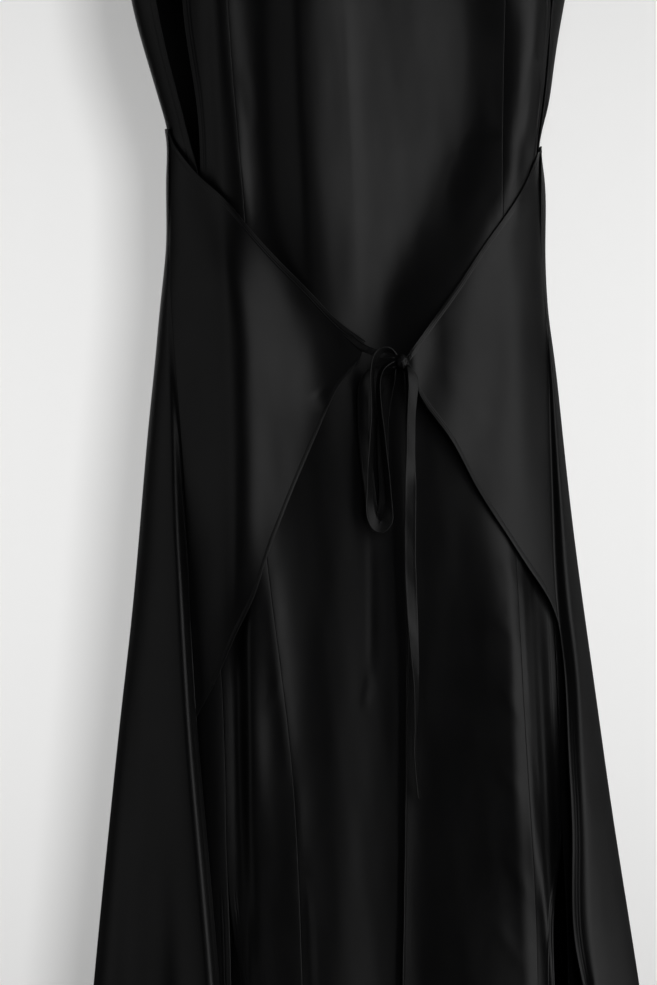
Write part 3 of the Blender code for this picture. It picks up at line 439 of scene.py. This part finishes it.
def spline(places, values):
    """A natural cubic spline through the values at some places, flat outside them."""
    order = np.argsort(places)
    x, y = (np.asarray(column, float)[order] for column in (places, values))
    step = np.diff(x)
    slope = np.diff(y) / step
    matrix = np.eye(len(x))
    right = np.zeros(len(x))
    for i in range(1, len(x) - 1):
        matrix[i, i - 1:i + 2] = step[i - 1], 2 * (step[i - 1] + step[i]), step[i]
        right[i] = 6 * (slope[i] - slope[i - 1])
    bend = np.linalg.solve(matrix, right)

    def at(place):
        place = np.clip(place, x[0], x[-1])
        i = np.clip(np.searchsorted(x, place) - 1, 0, len(x) - 2)
        a = (x[i + 1] - place) / step[i]
        b = 1 - a
        curve = (a**3 - a) * bend[i] + (b**3 - b) * bend[i + 1]
        return a * y[i] + b * y[i + 1] + curve * step[i] ** 2 / 6

    return at


def table_splines(rows):
    """One spline over the first column for each other column of a table."""
    columns = list(zip(*rows))
    return [spline(columns[0], column) for column in columns[1:]]


DRESS = table_splines(DRESS_SECTIONS)
OUTER = table_splines(OUTER_SECTIONS)
FOLDS = [table_splines(rows) for rows in FRONT_FOLDS.values()]
OPENING = {"left": table_splines(SIDE_OPENING_LEFT)[0], "right": table_splines(SIDE_OPENING_RIGHT)[0]}
EDGE_LEFT, SEAM_LEFT, SEAM_RIGHT, EDGE_RIGHT = (
    table_splines(rows)[0]
    for rows in (FRONT_EDGE_LEFT, PRINCESS_SEAM_LEFT, PRINCESS_SEAM_RIGHT, FRONT_EDGE_RIGHT)
)


def fold_lift(x, z):
    """How far the folds of the front stand out, mm."""
    total = np.zeros_like(np.asarray(x, float) + z)
    for crest, lift, left, right in FOLDS:
        away = x - crest(z)
        total = total + lift(z) * bell(away, np.where(away < 0, left(z), right(z)))
    return total


def crease_lift(table, x, z):
    """How far a table's creases stand out, mm; each fades at both ends."""
    total = np.zeros(np.broadcast(x, z).shape)
    for x0, z0, x1, z1, bow, lift, left, right in table:
        run = math.hypot(x1 - x0, z1 - z0)
        across, down = (x1 - x0) / run, (z1 - z0) / run
        along = ((x - x0) * across + (z - z0) * down) / run
        aside = across * (z - z0) - down * (x - x0) - bow * 4 * along * (1 - along)
        fade = smoothstep(0, CREASE_FADE, along) * smoothstep(0, CREASE_FADE, 1 - along)
        total = total + lift * fade * bell(aside, np.where(aside < 0, left, right))
    return total


def waves(across, z):
    """The cloth's slow unevenness, mm."""
    total = np.zeros(np.broadcast(across, z).shape)
    for lift, wide, tall, phase in WAVES:
        total = total + lift * np.sin(2 * math.pi * (across / wide + z / tall) + phase)
    return total


def back_lift(back, x, z):
    """How far the cloth of a back stands out; its folds grow towards the hem."""
    folds, creases, top, hem, shift = back
    fall = np.clip((top - z) / (top - hem), 0, 1)
    total = np.zeros_like(x)
    for at_waist, at_hem, lift, reach in folds:
        crest = at_waist + (at_hem - at_waist) * fall
        width = reach * (FOLD_START_WIDTH + (1 - FOLD_START_WIDTH) * fall)
        total = total + lift * fall**FOLD_GROWTH * bell(x - crest, width)
    return total + crease_lift(creases, x, z) + waves(x + shift, z)


def side_fold_lift(fold, side, x, z):
    """The crest near the side of the overskirt and the dip inside it, mm."""
    crest, lift, dip, depth = (column(z) for column in fold)
    inward = side * (crest - x)
    span = np.maximum(side * (crest - dip), SHORTEST_DIP)
    drop = smoothstep(0, 1, inward / span)
    beyond = bell(np.maximum(inward - span, 0), DIP_REACH)
    inner = lift * (1 - drop) - depth * drop * beyond
    return np.where(inward < 0, lift * bell(inward, SIDE_FOLD_REACH), inner)


# ---- the surfaces, in mm ----

def shoulder_height(x):
    """Height of the shoulder seam over a place."""
    return -SHOULDER_SLOPE * np.maximum(np.abs(x) - NECK_HALF, 0)


def top_height(neck_drop, x):
    """Height of the top edge: the shoulder seams, and the neckline between them."""
    scoop = -neck_drop * (1 - (np.minimum(np.abs(x), NECK_HALF) / NECK_HALF) ** 2)
    return shoulder_height(x) + scoop


def shoulder_curve(x, z):
    """Share of the full depth: none on the shoulder seam, all of it further down."""
    down = np.clip((shoulder_height(x) - z) / SHOULDER_ROUND, 0, 1)
    return np.sqrt(1 - (1 - down) ** 2)


def side_share(sections, x, z):
    """How far out a place is on a section: 0 in its middle, 1 at its side."""
    left, right = sections[0](z), sections[1](z)
    return np.clip(np.abs(x - (left + right) / 2) / ((right - left) / 2), 0, 1)


def front_angle(sections, x, z):
    """The angle, forward from its side, at which a section reaches a place."""
    return np.arccos(side_share(sections, x, z) ** (ROUNDNESS / 2))


def front_depth(sections, x, z):
    """How far a section's front lies before the shoulder line at a place."""
    return sections[2](z) * (1 - side_share(sections, x, z) ** ROUNDNESS) ** (1 / ROUNDNESS)


def front_lift(x, z):
    return fold_lift(x, z) + crease_lift(DRESS_CREASES, x, z) + waves(x, z)


def dress_front(x, z):
    depth = (front_depth(DRESS, x, z) + front_lift(x, z)) * shoulder_curve(x, z)
    return np.stack([x, -depth, z], axis=-1)


def round_point(sections, lift, back, blend, angle, z):
    """A place round a section with the lifts of its front and back, which fade at its side.
    Angle 0 is centre back, +90 degrees the right side."""
    left, right, front, rear = (column(z) for column in sections)
    s, c = np.sin(angle), np.cos(angle)
    power = 2 / ROUNDNESS
    x = (left + right) / 2 + (right - left) / 2 * np.sign(s) * np.abs(s) ** power
    y = np.where(c > 0, rear, front) * np.sign(c) * np.abs(c) ** power
    y = y - smoothstep(0, blend, -c) * lift(x, z)
    return x, y + smoothstep(0, BACK_BLEND, c) * back_lift(back, x, z)


def outer_lift(fold, creases, side, x, z):
    lift = side_fold_lift(fold, side, x, z) + crease_lift(creases, x, z)
    return lift + waves(x + OUTER_SHIFT, z)


# ---- grids of cloth ----

def spaced(total, count):
    """Distances across a panel: close together by its edges, even between them."""
    edge = EDGE_STEPS * min(1, total / (4 * EDGE_STEPS[-1]))
    inner = np.linspace(edge[-1], total - edge[-1], count + 2)[1:-1]
    return np.concatenate([edge, inner, total - edge[::-1]])


def panel_grid(curve, top, bottom, columns, rows):
    """Points of a panel that hangs from its top edge: curve(share, z) crosses it at each height,
    and its columns keep their distances from its sides. rows: near the top, and below."""
    dense = np.linspace(0, 1, DENSE)
    shares = []
    for level in np.linspace(HIGHEST, bottom, LEVELS):
        run = path_length(curve(dense, np.full(DENSE, level)))
        shares.append(np.interp(spaced(run[-1], columns), run, dense))
    shares = np.array(shares)
    column = np.arange(shares.shape[1])

    def share_at(z):
        place = np.clip((HIGHEST - z) / (HIGHEST - bottom) * (LEVELS - 1), 0, LEVELS - 1.001)
        first = place.astype(int)
        part = place - first
        return shares[first, column] * (1 - part) + shares[first + 1, column] * part

    low, high = np.full(len(column), float(bottom)), np.full(len(column), HIGHEST)
    for _ in range(SEARCH_STEPS):
        middle = (low + high) / 2
        above = middle > top(curve(share_at(middle), middle)[:, 0])
        high = np.where(above, middle, high)
        low = np.where(above, low, middle)
    near_top = low - TOP_ROWS_DOWN * np.linspace(0, 1, rows[0] + 1)[:, None] ** TOP_ROW_CROWDING
    near_hem = np.tile(bottom + EDGE_STEPS[::-1, None], len(low))
    z = np.concatenate([near_top, np.linspace(near_top[-1], near_hem[0], rows[1] + 1)[1:-1], near_hem])
    return curve(share_at(z), z)


def hem_lift(away):
    """Outward and inward lift of a double-stitched hem, mm."""
    band = 1 - smoothstep(*HEM_STEP, away)
    rows = sum(bell(away - row, GROOVE) for row in STITCH_ROWS)
    edge = HEM_EDGE * bell(away, GROOVE)
    return np.stack([height * band - depth * rows - edge for height, depth in HEM_LIFTS])


def seam_lift(away, run):
    """Lift beside a seam: sunk at it, a little raised over its allowance, and puckered."""
    pucker = np.sin(run / PUCKER_LENGTH + PUCKER_DRIFT * np.sin(run / PUCKER_CHANGE))
    sunk, raised, gathered = (lift * bell(away - middle, reach) for lift, middle, reach in SEAM_LIFTS)
    return sunk + raised + gathered * pucker


def add_object(name, data):
    obj = bpy.data.objects.new(name, data)
    bpy.context.scene.collection.objects.link(obj)
    return obj


def add_mesh(name, points, faces, material):
    """A mesh object from points in metres and faces."""
    mesh = bpy.data.meshes.new(name)
    mesh.from_pydata(np.asarray(points).tolist(), [], np.asarray(faces).tolist())
    mesh.validate()
    mesh.shade_smooth()
    mesh.materials.append(material)
    return add_object(name, mesh)


def grid_faces(rows, columns, ring=False, loop=False):
    """Faces of a grid; ring and loop join its last column and its last row to the first."""
    r, c = np.meshgrid(np.arange(rows - (not loop)), np.arange(columns - (not ring)), indexing="ij")
    below, beside = (r + 1) % rows, (c + 1) % columns
    corners = [(r, c), (r, beside), (below, beside), (below, c)]
    return np.stack([(row * columns + column).ravel() for row, column in corners], axis=1)


def shell_faces(rows, columns, turned):
    """Faces of a closed wall round a grid: its outer skin, its inner one and its rim."""
    skin = rows * columns
    index = np.arange(skin).reshape(rows, columns)
    here = np.concatenate([index[0], index[1:, -1], index[-1, -2::-1], index[-2:0:-1, 0]])
    after = np.roll(here, -1)
    sheet = grid_faces(rows, columns)
    rim = np.stack([after, here, here + skin, after + skin], axis=1)
    faces = np.concatenate([sheet, sheet[:, ::-1] + skin, rim])
    return faces[:, ::-1] if turned else faces


def stitch_points(line, facing):
    """Points of the stitches along a line: each has four rings of four."""
    run = path_length(line)
    at = np.arange(STITCH_PITCH / 2, run[-1], STITCH_PITCH)
    normal = between(at, run, facing)
    ahead, behind = (between(at + step, run, line) for step in (STITCH_LOOK, -STITCH_LOOK))
    along = unit(ahead - behind)
    across = np.cross(along, normal)
    centre = between(at, run, line) + normal * (WALL / 2 + STITCH_RISE)
    turn = (math.pi / 2 * np.arange(4) + math.pi / 4)[:, None]
    ring = across[:, None] * np.cos(turn) + normal[:, None] * np.sin(turn)
    rings = [(centre + along * STITCH_LENGTH * step)[:, None] + ring * STITCH_RADIUS * size
             for step, size in STITCH_RINGS]
    return np.concatenate(rings, axis=1).reshape(-1, 3)


def add_stitches(name, lines):
    """All stitches along some lines, which are points and normals, as one mesh."""
    points = np.concatenate([stitch_points(*line) for line in lines]) * MM
    one = np.concatenate([grid_faces(4, 4, ring=True), [[3, 2, 1, 0], [12, 13, 14, 15]]])
    first = np.arange(0, len(points), 16)[:, None, None]
    return add_mesh(name, points, (one + first).reshape(-1, 4), THREAD)


# ---- materials ----

# The satin's patterns, scale per metre and detail: warp floats, weft, handling, soft creases.
PATTERNS = [((1500, 1500, 170), 2), ((420, 420, 1900), 1), ((26, 26, 26), 3), ((90, 90, 90), 2)]
TWIST_SCALE = 420


def fill(tree, made, inputs):
    """Sets or links inputs of a shader node, each by its name or number."""
    for key, value in inputs.items():
        if isinstance(value, bpy.types.NodeSocket):
            tree.links.new(value, made.inputs[key])
        else:
            made.inputs[key].default_value = value


def node(tree, kind, inputs, **settings):
    """The outputs of a new shader node."""
    made = tree.nodes.new("ShaderNode" + kind)
    for key, value in settings.items():
        setattr(made, key, value)
    fill(tree, made, inputs)
    return made.outputs


def maths(tree, operation, *values):
    return node(tree, "Math", dict(enumerate(values)), operation=operation)[0]


def own_place(tree):
    return node(tree, "TexCoord", {})["Object"]


def toned(tree, base, tone, clamped):
    """A colour between black and the base, or beyond it where the tone isn't clamped."""
    ends = {0: tone, 6: (0, 0, 0, 1), 7: (*base, 1)}
    return node(tree, "Mix", ends, data_type="RGBA", clamp_factor=clamped)[2]


def new_material(name):
    """A material, its tree and its own shader."""
    material = bpy.data.materials.new(name)
    material.use_nodes = True
    return material, material.node_tree, material.node_tree.nodes["Principled BSDF"]


def satin(name, base, roughness, weave=1.0):
    """Black satin: long warp floats as fine upright streaks, a soft broad gloss along them, and
    faint slow changes of colour and gloss where the cloth has been handled."""
    material, tree, shader = new_material(name)
    patterns = []
    for scale, detail in PATTERNS:
        place = node(tree, "Mapping", {"Vector": own_place(tree), "Scale": scale})[0]
        patterns.append(node(tree, "TexNoise", {"Vector": place, "Scale": 1, "Detail": detail})[0])
    streak, weft, handled, creased = patterns
    tone = maths(tree, "MULTIPLY", maths(tree, "MULTIPLY_ADD", handled, 0.5, 0.75),
                 maths(tree, "MULTIPLY_ADD", streak, 0.7, 0.65))
    gloss = maths(tree, "MULTIPLY_ADD", handled, 0.1, roughness - 0.05)
    height = maths(tree, "MULTIPLY_ADD", weft, 0.6, streak)
    woven = node(tree, "Bump", {"Strength": 0.2 * weave, "Distance": 0.12 * MM, "Height": height})[0]
    soft = {"Strength": 0.05, "Distance": MM, "Height": creased, "Normal": woven}
    fill(tree, shader, {
        "Base Color": toned(tree, base, tone, False), "Normal": node(tree, "Bump", soft)[0],
        "Roughness": maths(tree, "MULTIPLY_ADD", streak, 0.1, gloss), "IOR": 1.5,
        "Anisotropic": 0.3, "Anisotropic Rotation": 0.25,
        "Tangent": node(tree, "Tangent", {}, direction_type="RADIAL", axis="Z")[0],
    })
    return material


def thread(name, base):
    """Spun thread: a fine twist across each stitch."""
    material, tree, shader = new_material(name)
    wave = {"Vector": own_place(tree), "Scale": TWIST_SCALE, "Distortion": 1.5}
    twist = node(tree, "TexWave", wave)[1]
    tone = maths(tree, "MULTIPLY_ADD", twist, 0.5, 0.75)
    bump = node(tree, "Bump", {"Strength": 0.4, "Distance": 0.1 * MM, "Height": twist})[0]
    fill(tree, shader, {"Base Color": toned(tree, base, tone, True), "Normal": bump, "Roughness": 0.5})
    return material


SATINS = {
    "dress_satin": satin("satin_dress", (0.0011, 0.0011, 0.0012), 0.44),
    "overskirt_satin": satin("satin_overskirt", (0.0011, 0.0011, 0.0012), 0.44),
    "tie_satin": satin("satin_tie", (0.0013, 0.0013, 0.0014), 0.5, weave=1.3),
}
THREAD = thread("thread", (0.012, 0.012, 0.013))


def hand_in(obj, stands_for=None):
    """Puts a piece on the one body and in the place of its node."""
    if stands_for:
        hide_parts(stands_for)
    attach(obj, "root")


# ---- the picture: camera, wall, floor and light ----

def add_camera():
    data = bpy.data.cameras.new("camera")
    camera = add_object("camera", data)
    camera.location = VIEW_CENTRE - (0, VIEW_DISTANCE, 0)
    camera.rotation_euler = (math.pi / 2, 0, 0)
    data.sensor_width = SENSOR
    data.lens = SENSOR * VIEW_DISTANCE / VIEW_HEIGHT
    data.clip_end = 60
    bpy.context.scene.camera = camera


def wall_paint_and_painted_light():
    """White paint, seen from the front only, with painted light: an emission that stands in for a
    bright room's fill light, brightest at the middle height and fading above and below.
    """
    material, tree, shader = new_material("wall_paint_and_painted_light")
    # Painted light: the emission is strongest at the view's middle height and falls off above and
    # below.
    height = node(tree, "SeparateXYZ", {0: own_place(tree)})[2]
    away = maths(tree, "SUBTRACT", height, VIEW_CENTRE[2])
    fall = maths(tree, "MULTIPLY", maths(tree, "MULTIPLY", away, away), WALL_PAINTED_FALLOFF)
    painted_light = maths(tree, "MAXIMUM", maths(tree, "SUBTRACT", WALL_PAINTED_LIGHT, fall), LEAST_PAINTED_LIGHT)
    fill(tree, shader, {
        "Base Color": (0.46, 0.458, 0.455, 1), "Roughness": 0.9, "Specular IOR Level": 0,
        "Emission Color": (1, 0.997, 0.99, 1), "Emission Strength": painted_light,
    })
    behind, clear = node(tree, "NewGeometry", {})["Backfacing"], node(tree, "BsdfTransparent", {})[0]
    one_sided = node(tree, "MixShader", {0: behind, 1: shader.outputs[0], 2: clear})[0]
    fill(tree, tree.nodes["Material Output"], {0: one_sided})
    return material


def add_plane(name, half, near, far, material, hidden_from):
    """A plane across the picture, from one y and z to another."""
    corners = [(-half, *near), (half, *near), (half, *far), (-half, *far)]
    obj = add_mesh(name, corners, [[0, 1, 2, 3]], material)
    for rays in hidden_from:
        setattr(obj, "visible_" + rays, False)


def add_light(name, azimuth, elevation, distance, width, height, power, lights):
    a, e = math.radians(azimuth), math.radians(elevation)
    back = np.array([math.sin(a) * math.cos(e), -math.cos(a) * math.cos(e), math.sin(e)])
    data = bpy.data.lights.new(name, "AREA")
    data.shape = "RECTANGLE"
    data.size, data.size_y = width, height
    data.energy = power
    light = add_object(name, data)
    light.location = VIEW_CENTRE + back * distance
    light.rotation_euler = (math.pi / 2 - e, 0, a)
    light.visible_diffuse = lights == "diffuse"
    light.visible_glossy = lights == "gloss"


def add_stage():
    floor_paint, tree, shader = new_material("floor_paint")
    fill(tree, shader, {"Base Color": (0.8, 0.8, 0.79, 1), "Roughness": 0.7,
                        "Specular IOR Level": 0.1})
    add_plane("floor", FLOOR_HALF, (-FLOOR_HALF, FLOOR_HEIGHT), (FLOOR_HALF, FLOOR_HEIGHT),
              floor_paint, ("glossy", "shadow"))
    add_plane("wall", WALL_HALF, (WALL_PLACE, FLOOR_HEIGHT), (WALL_PLACE, WALL_TOP), wall_paint_and_painted_light(),
              ("shadow", "diffuse", "glossy"))
    world = bpy.data.worlds.new("studio")
    world.use_nodes = True
    fill(world.node_tree, world.node_tree.nodes["Background"], {0: (0.97, 0.98, 1, 1), 1: WORLD_LIGHT})
    bpy.context.scene.world = world
    for light in LIGHTS:
        add_light(*light)
    bpy.context.scene.view_settings.view_transform = "Standard"


add_camera()
add_stage()


# ---- ties ----

def tie_rings(table, steps):
    """Centres, width and thickness directions along a flat tie, in metres."""
    rows = np.asarray(table, float)
    points = np.stack([rows[:, 0], -rows[:, 2], rows[:, 1]], axis=1)
    length = path_length(points)
    at = np.linspace(0, length[-1], steps)
    centres = np.stack([spline(length, column)(at) for column in points.T], axis=1) * MM
    turn = np.radians(spline(length, rows[:, 3])(at))[:, None]
    run = unit(np.gradient(centres, axis=0))
    across = unit(np.cross(run, (0.0, -1.0, 0.0)))
    for i in range(1, steps):
        if np.dot(across[i], across[i - 1]) < 0:
            across[i] *= -1
    width = across * np.cos(turn) + np.cross(across, run) * np.sin(turn)
    return centres, width, np.cross(width, run)


def add_ribbon(node_name, table, steps, drawn_in=1.0):
    """A flat tie along its route: stitched edges a little thicker, crumpled into the knot."""
    centres, width, thickness = tie_rings(table, steps)
    away = np.linalg.norm(centres - KNOT_CENTRE * MM, axis=1) - KNOT_RADII[0] * MM
    share = GATHERED_SHARE + (1 - GATHERED_SHARE) * smoothstep(0, GATHER, away[:, None])
    share *= drawn_in
    place, half = np.array(RIBBON).T
    run = (np.arange(steps) / steps)[:, None]
    crumple = CRUMPLE * (1 - share) * np.cos(2.6 * math.pi * place + 5 * run)
    rise = crumple + RIPPLE * np.sin(60 * run + 2 * place)
    middle = centres[:, None] + width[:, None] * (place * share * TIE_WIDTH / 2)[..., None]
    front, rear = (middle + thickness[:, None] * ((rise + stand) * MM)[..., None]
                   for stand in (half, -half))
    rings = np.concatenate([front, rear[:, ::-1]], axis=1)
    count = rings.shape[1]
    i = np.arange(count // 2 - 1)
    cap = np.stack([i, i + 1, count - 2 - i, count - 1 - i], axis=1)
    faces = [grid_faces(steps, count, ring=True), cap[:, ::-1], cap + (steps - 1) * count]
    obj = add_mesh(node_name + "_ribbon", rings.reshape(-1, 3), np.concatenate(faces),
                   SATINS["tie_satin"])
    hand_in(obj, node_name)
    return obj, centres


def add_knot():
    """A tight knot: a lumpy core with the ties' turns wrapped round it."""
    polar = math.pi * np.arange(KNOT_ROWS + 1)[:, None] / KNOT_ROWS
    angle = 2 * math.pi * np.arange(KNOT_TURNS) / KNOT_TURNS
    ball = [np.sin(polar) * np.cos(angle), np.sin(polar) * np.sin(angle), np.cos(polar) + 0 * angle]
    lumps = KNOT_CORE + 0.06 * np.sin(3 * angle + 2 * polar) + 0.05 * np.sin(5 * polar - angle)
    core = KNOT_CENTRE + KNOT_RADII * np.stack(ball, axis=-1) * lumps[..., None]
    points = [core.reshape(-1, 3)]
    faces = [grid_faces(KNOT_ROWS + 1, KNOT_TURNS, ring=True)[:, [0, 3, 2, 1]]]
    place, lift = np.array(WRAP_SHAPE).T[..., None]
    angle = (2 * math.pi * np.arange(WRAP_STEPS) / WRAP_STEPS)[:, None]
    for axis, half, stand in KNOT_WRAPS:
        axis = unit(np.array(axis))
        first = unit(np.cross(axis, (0.3, 1.0, 0.1)))
        spoke = (first * np.cos(angle) + np.cross(axis, first) * np.sin(angle))[:, None]
        wrap = KNOT_CENTRE + KNOT_RADII * KNOT_WRAP * spoke + axis * place * half
        wrap = wrap + spoke * (stand * lift)
        start = sum(map(len, points))
        faces.append(grid_faces(WRAP_STEPS, len(WRAP_SHAPE), ring=True, loop=True) + start)
        points.append(wrap.reshape(-1, 3))
    obj = add_mesh("tie_knot_wraps", np.concatenate(points) * MM, np.concatenate(faces),
                   SATINS["tie_satin"])
    hand_in(obj, "tie_knot")
    return obj


def add_ties():
    knot = add_knot()
    lead, _ = add_ribbon("tie_lead", TIE_LEAD, LEAD_RINGS, drawn_in=LEAD_SHARE)
    for name, (table, steps, far_end) in TIES.items():
        ribbon, centres = add_ribbon(name, table, steps)


add_ties()


# ---- panels ----

def crossing(values, side):
    """A grid's array, turned so that the distance from that side grows along axis 1."""
    if side in ("top", "bottom"):
        values = np.swapaxes(values, 0, 1)
    return values[:, ::-1] if side in ("right", "bottom") else values


def runs_of(keep):
    """Start and stop of each unbroken run of true values."""
    edges = np.flatnonzero(np.diff(np.pad(keep.astype(int), 1)))
    return zip(edges[::2], edges[1::2])


def finish_panel(name, grid, out, shares, slot):
    """Makes a panel, a thin shell of cloth with its stitches, from its grid. shares says how much
    of a hem the lines across each side carry; the rest of them is a seam."""
    left, top = path_length(grid, axis=1), path_length(grid)
    away = {"left": left, "right": left[:, -1:] - left, "top": top, "bottom": top[-1:] - top}
    normals = unit(out * np.cross(np.gradient(grid, axis=0), np.gradient(grid, axis=1)))
    lifts = np.zeros((2, *grid.shape[:2]))
    lines = []
    for side, share in shares.items():
        upright = side in ("left", "right")
        share = np.broadcast_to(np.asarray(share, float), grid.shape[0 if upright else 1])
        weight = share[:, None] if upright else share
        seam = seam_lift(away[side], away["top" if upright else "left"])
        lifts += weight * hem_lift(away[side])
        lifts[0] += (1 - weight) * seam
        crossed = [crossing(values, side) for values in (grid, normals, away[side])]
        for start, stop in runs_of(share > STITCHED_SHARE):
            for row in STITCH_ROWS if stop - start >= SHORTEST_RUN else []:
                places = [[between(row, run, values) for values in (points, facing)]
                          for points, facing, run in zip(*(part[start:stop] for part in crossed))]
                lines.append(np.swapaxes(places, 0, 1))
    outer, inner = WALL / 2 + lifts[..., None]
    points = np.stack([grid + normals * outer, grid - normals * inner]).reshape(-1, 3) * MM
    cloth = add_mesh(name + "_cloth", points, shell_faces(*grid.shape[:2], out > 0), SATINS[slot])
    stitches = [add_stitches(name + "_stitches", lines)]
    hand_in(stitches[0])
    hand_in(cloth, name)


def front_curve(left, right, share, z):
    """Across a panel of the front, between its guide lines."""
    low, high = left(z) + SEAM_GAP, right(z) - SEAM_GAP
    return dress_front(low + (high - low) * share, z)


def back_curve(share, z):
    """Across the back, from its edge in front of one side to the other."""
    left = EDGE_LEFT(z) - np.maximum(OPENING["left"](z), 0)
    right = EDGE_RIGHT(z) + np.maximum(OPENING["right"](z), 0)
    start = -math.pi / 2 - front_angle(DRESS, left, z)
    end = math.pi / 2 + front_angle(DRESS, right, z)
    angle = start + (end - start) * share
    x, y = round_point(DRESS, front_lift, DRESS_BACK, FRONT_BLEND, angle, z)
    return np.stack([x, y * shoulder_curve(x, z), z], axis=-1)


def overskirt_curve(fold, creases, side, share, z):
    """Round one side of the overskirt, from centre back to the dip of its fold."""
    angle = side * share * (math.pi / 2 + front_angle(OUTER, fold[2](z), z))
    lift = partial(outer_lift, fold, creases, side)
    x, y = round_point(OUTER, lift, OUTER_BACK, FREE_EDGE_BLEND, angle, z)
    return np.stack([x, y, z], axis=-1)


def overskirt_top(side, x):
    """Top edge of the overskirt: a little lower at the sides."""
    at_side = (WING_TOP_LEFT if side < 0 else WING_TOP_RIGHT)[0][1]
    return WAIST + (at_side - WAIST) * smoothstep(*OUTER_TOP_BEND, np.abs(x))


def hem_share(kind, side, grid, wing_end):
    """How much of a hem the lines across a side of a panel carry, from 0 to 1."""
    edge = {"left": grid[:, 0], "right": grid[:, -1], "top": grid[0], "bottom": grid[-1]}[side]
    if kind == "neck":
        return np.abs(edge[:, 0]) < NECK_HALF - 1
    if kind == "open":
        return smoothstep(*OPEN_HEM, OPENING[side](edge[:, 2]))
    if kind == "free":
        return smoothstep(*WING_END, edge[:, 2] - wing_end)
    return kind == "hem"


FOLD_LEFT, FOLD_RIGHT = table_splines(SIDE_FOLD_LEFT), table_splines(SIDE_FOLD_RIGHT)
FRONT_TOP = (top_height, FRONT_NECK_DROP)
PANELS = [
    # name, curve across it, top, bottom, columns, rows, outer side of its grid, what its left,
    # right, top and bottom edges are, size of its cut, flat area
    ("front_centre", (front_curve, SEAM_LEFT, SEAM_RIGHT), FRONT_TOP, HEM, 96, (50, 230), 1,
     "seam seam neck hem", (0.27, 1.32), 0.285),
    ("front_side_left", (front_curve, EDGE_LEFT, SEAM_LEFT), FRONT_TOP, HEM, 22, (50, 230), 1,
     "open seam neck hem", (0.085, 1.34), 0.066),
    ("front_side_right", (front_curve, SEAM_RIGHT, EDGE_RIGHT), FRONT_TOP, HEM, 22, (50, 230), 1,
     "seam open neck hem", (0.065, 1.34), 0.048),
    ("back_bodice", (back_curve,), (top_height, BACK_NECK_DROP), BACK_SEAM + SEAM_GAP, 150,
     (46, 50), -1, "open open neck seam", (0.46, 0.4), 0.17),
    ("back_skirt", (back_curve,), (lambda x: BACK_SEAM - SEAM_GAP,), HEM, 150, (20, 120), -1,
     "open open seam hem", (0.9, 0.96), 0.62),
    ("overskirt_left", (overskirt_curve, FOLD_LEFT, OUTER_CREASES_LEFT, -1),
     (overskirt_top, -1), OUTER_HEM, 110, (30, 190), 1, "seam free seam hem", (0.52, 1.04), 0.42),
    ("overskirt_right", (overskirt_curve, FOLD_RIGHT, OUTER_CREASES_RIGHT, 1),
     (overskirt_top, 1), OUTER_HEM, 110, (30, 190), -1, "seam free seam hem", (0.46, 1.04), 0.38),
]


def add_panels():
    for name, curve, top, bottom, columns, rows, out, edges, flat, area in PANELS:
        grid = panel_grid(partial(*curve), partial(*top), bottom, columns, rows)
        wing_end = (WING_LOW_LEFT if name.endswith("left") else WING_LOW_RIGHT)[0][1]
        shares = {side: hem_share(kind, side, grid, wing_end)
                  for kind, side in zip(edges.split(), ("left", "right", "top", "bottom"))}
        slot, rests_on = "dress_satin", []
        if name.startswith("overskirt"):
            slot, rests_on = "overskirt_satin", ["back_skirt"]
        finish_panel(name, grid, out, shares, slot)


def edge_curve(points):
    """A smooth curve through the points of an edge, by its length from 0 to 1."""
    points = np.asarray(points, float)
    length = path_length(points)
    columns = [spline(length, column) for column in points.T]
    return lambda share: np.stack([column(share * length[-1]) for column in columns], axis=-1)


WING_PANELS = [
    ("wing_left", -1, FOLD_LEFT, WING_CREASES_LEFT, WING_TOP_LEFT, WING_LOW_LEFT, (0.26, 0.5), 0.048),
    ("wing_right", 1, FOLD_RIGHT, WING_CREASES_RIGHT, WING_TOP_RIGHT, WING_LOW_RIGHT, (0.2, 0.42),
     0.034),
]


def add_wings():
    for name, side, fold, creases, top, low, flat, area in WING_PANELS:
        along = spaced(WING_SPACING, WING_COLUMNS) / WING_SPACING
        upper, lower = edge_curve(top)(along), edge_curve(low)(along)
        length = np.linalg.norm(lower - upper, axis=1)
        down = np.stack([spaced(each, WING_ROWS) / each for each in length], axis=1)
        flat_x, z = (upper[:, i] * (1 - down) + lower[:, i] * down for i in range(2))
        x = flat_x + (fold[2](z[:, :1]) - flat_x[:, :1]) * (1 - along) ** WING_BOW
        depth = front_depth(OUTER, x, z) + outer_lift(fold, creases, side, x, z)
        gap = dress_front(x, z)[..., 1] + depth - WING_GAP
        drawn_in = WING_DRAW * bell(down * length, WING_TUCK)
        depth -= np.where(gap > 0, gap * drawn_in, gap) * smoothstep(0, WING_TIP, 1 - along)
        grid = np.stack([x, -depth, z], axis=-1)
        finish_panel(name, grid, -side, {"left": 0, "top": 1, "bottom": 1}, "overskirt_satin")


add_panels()
add_wings()
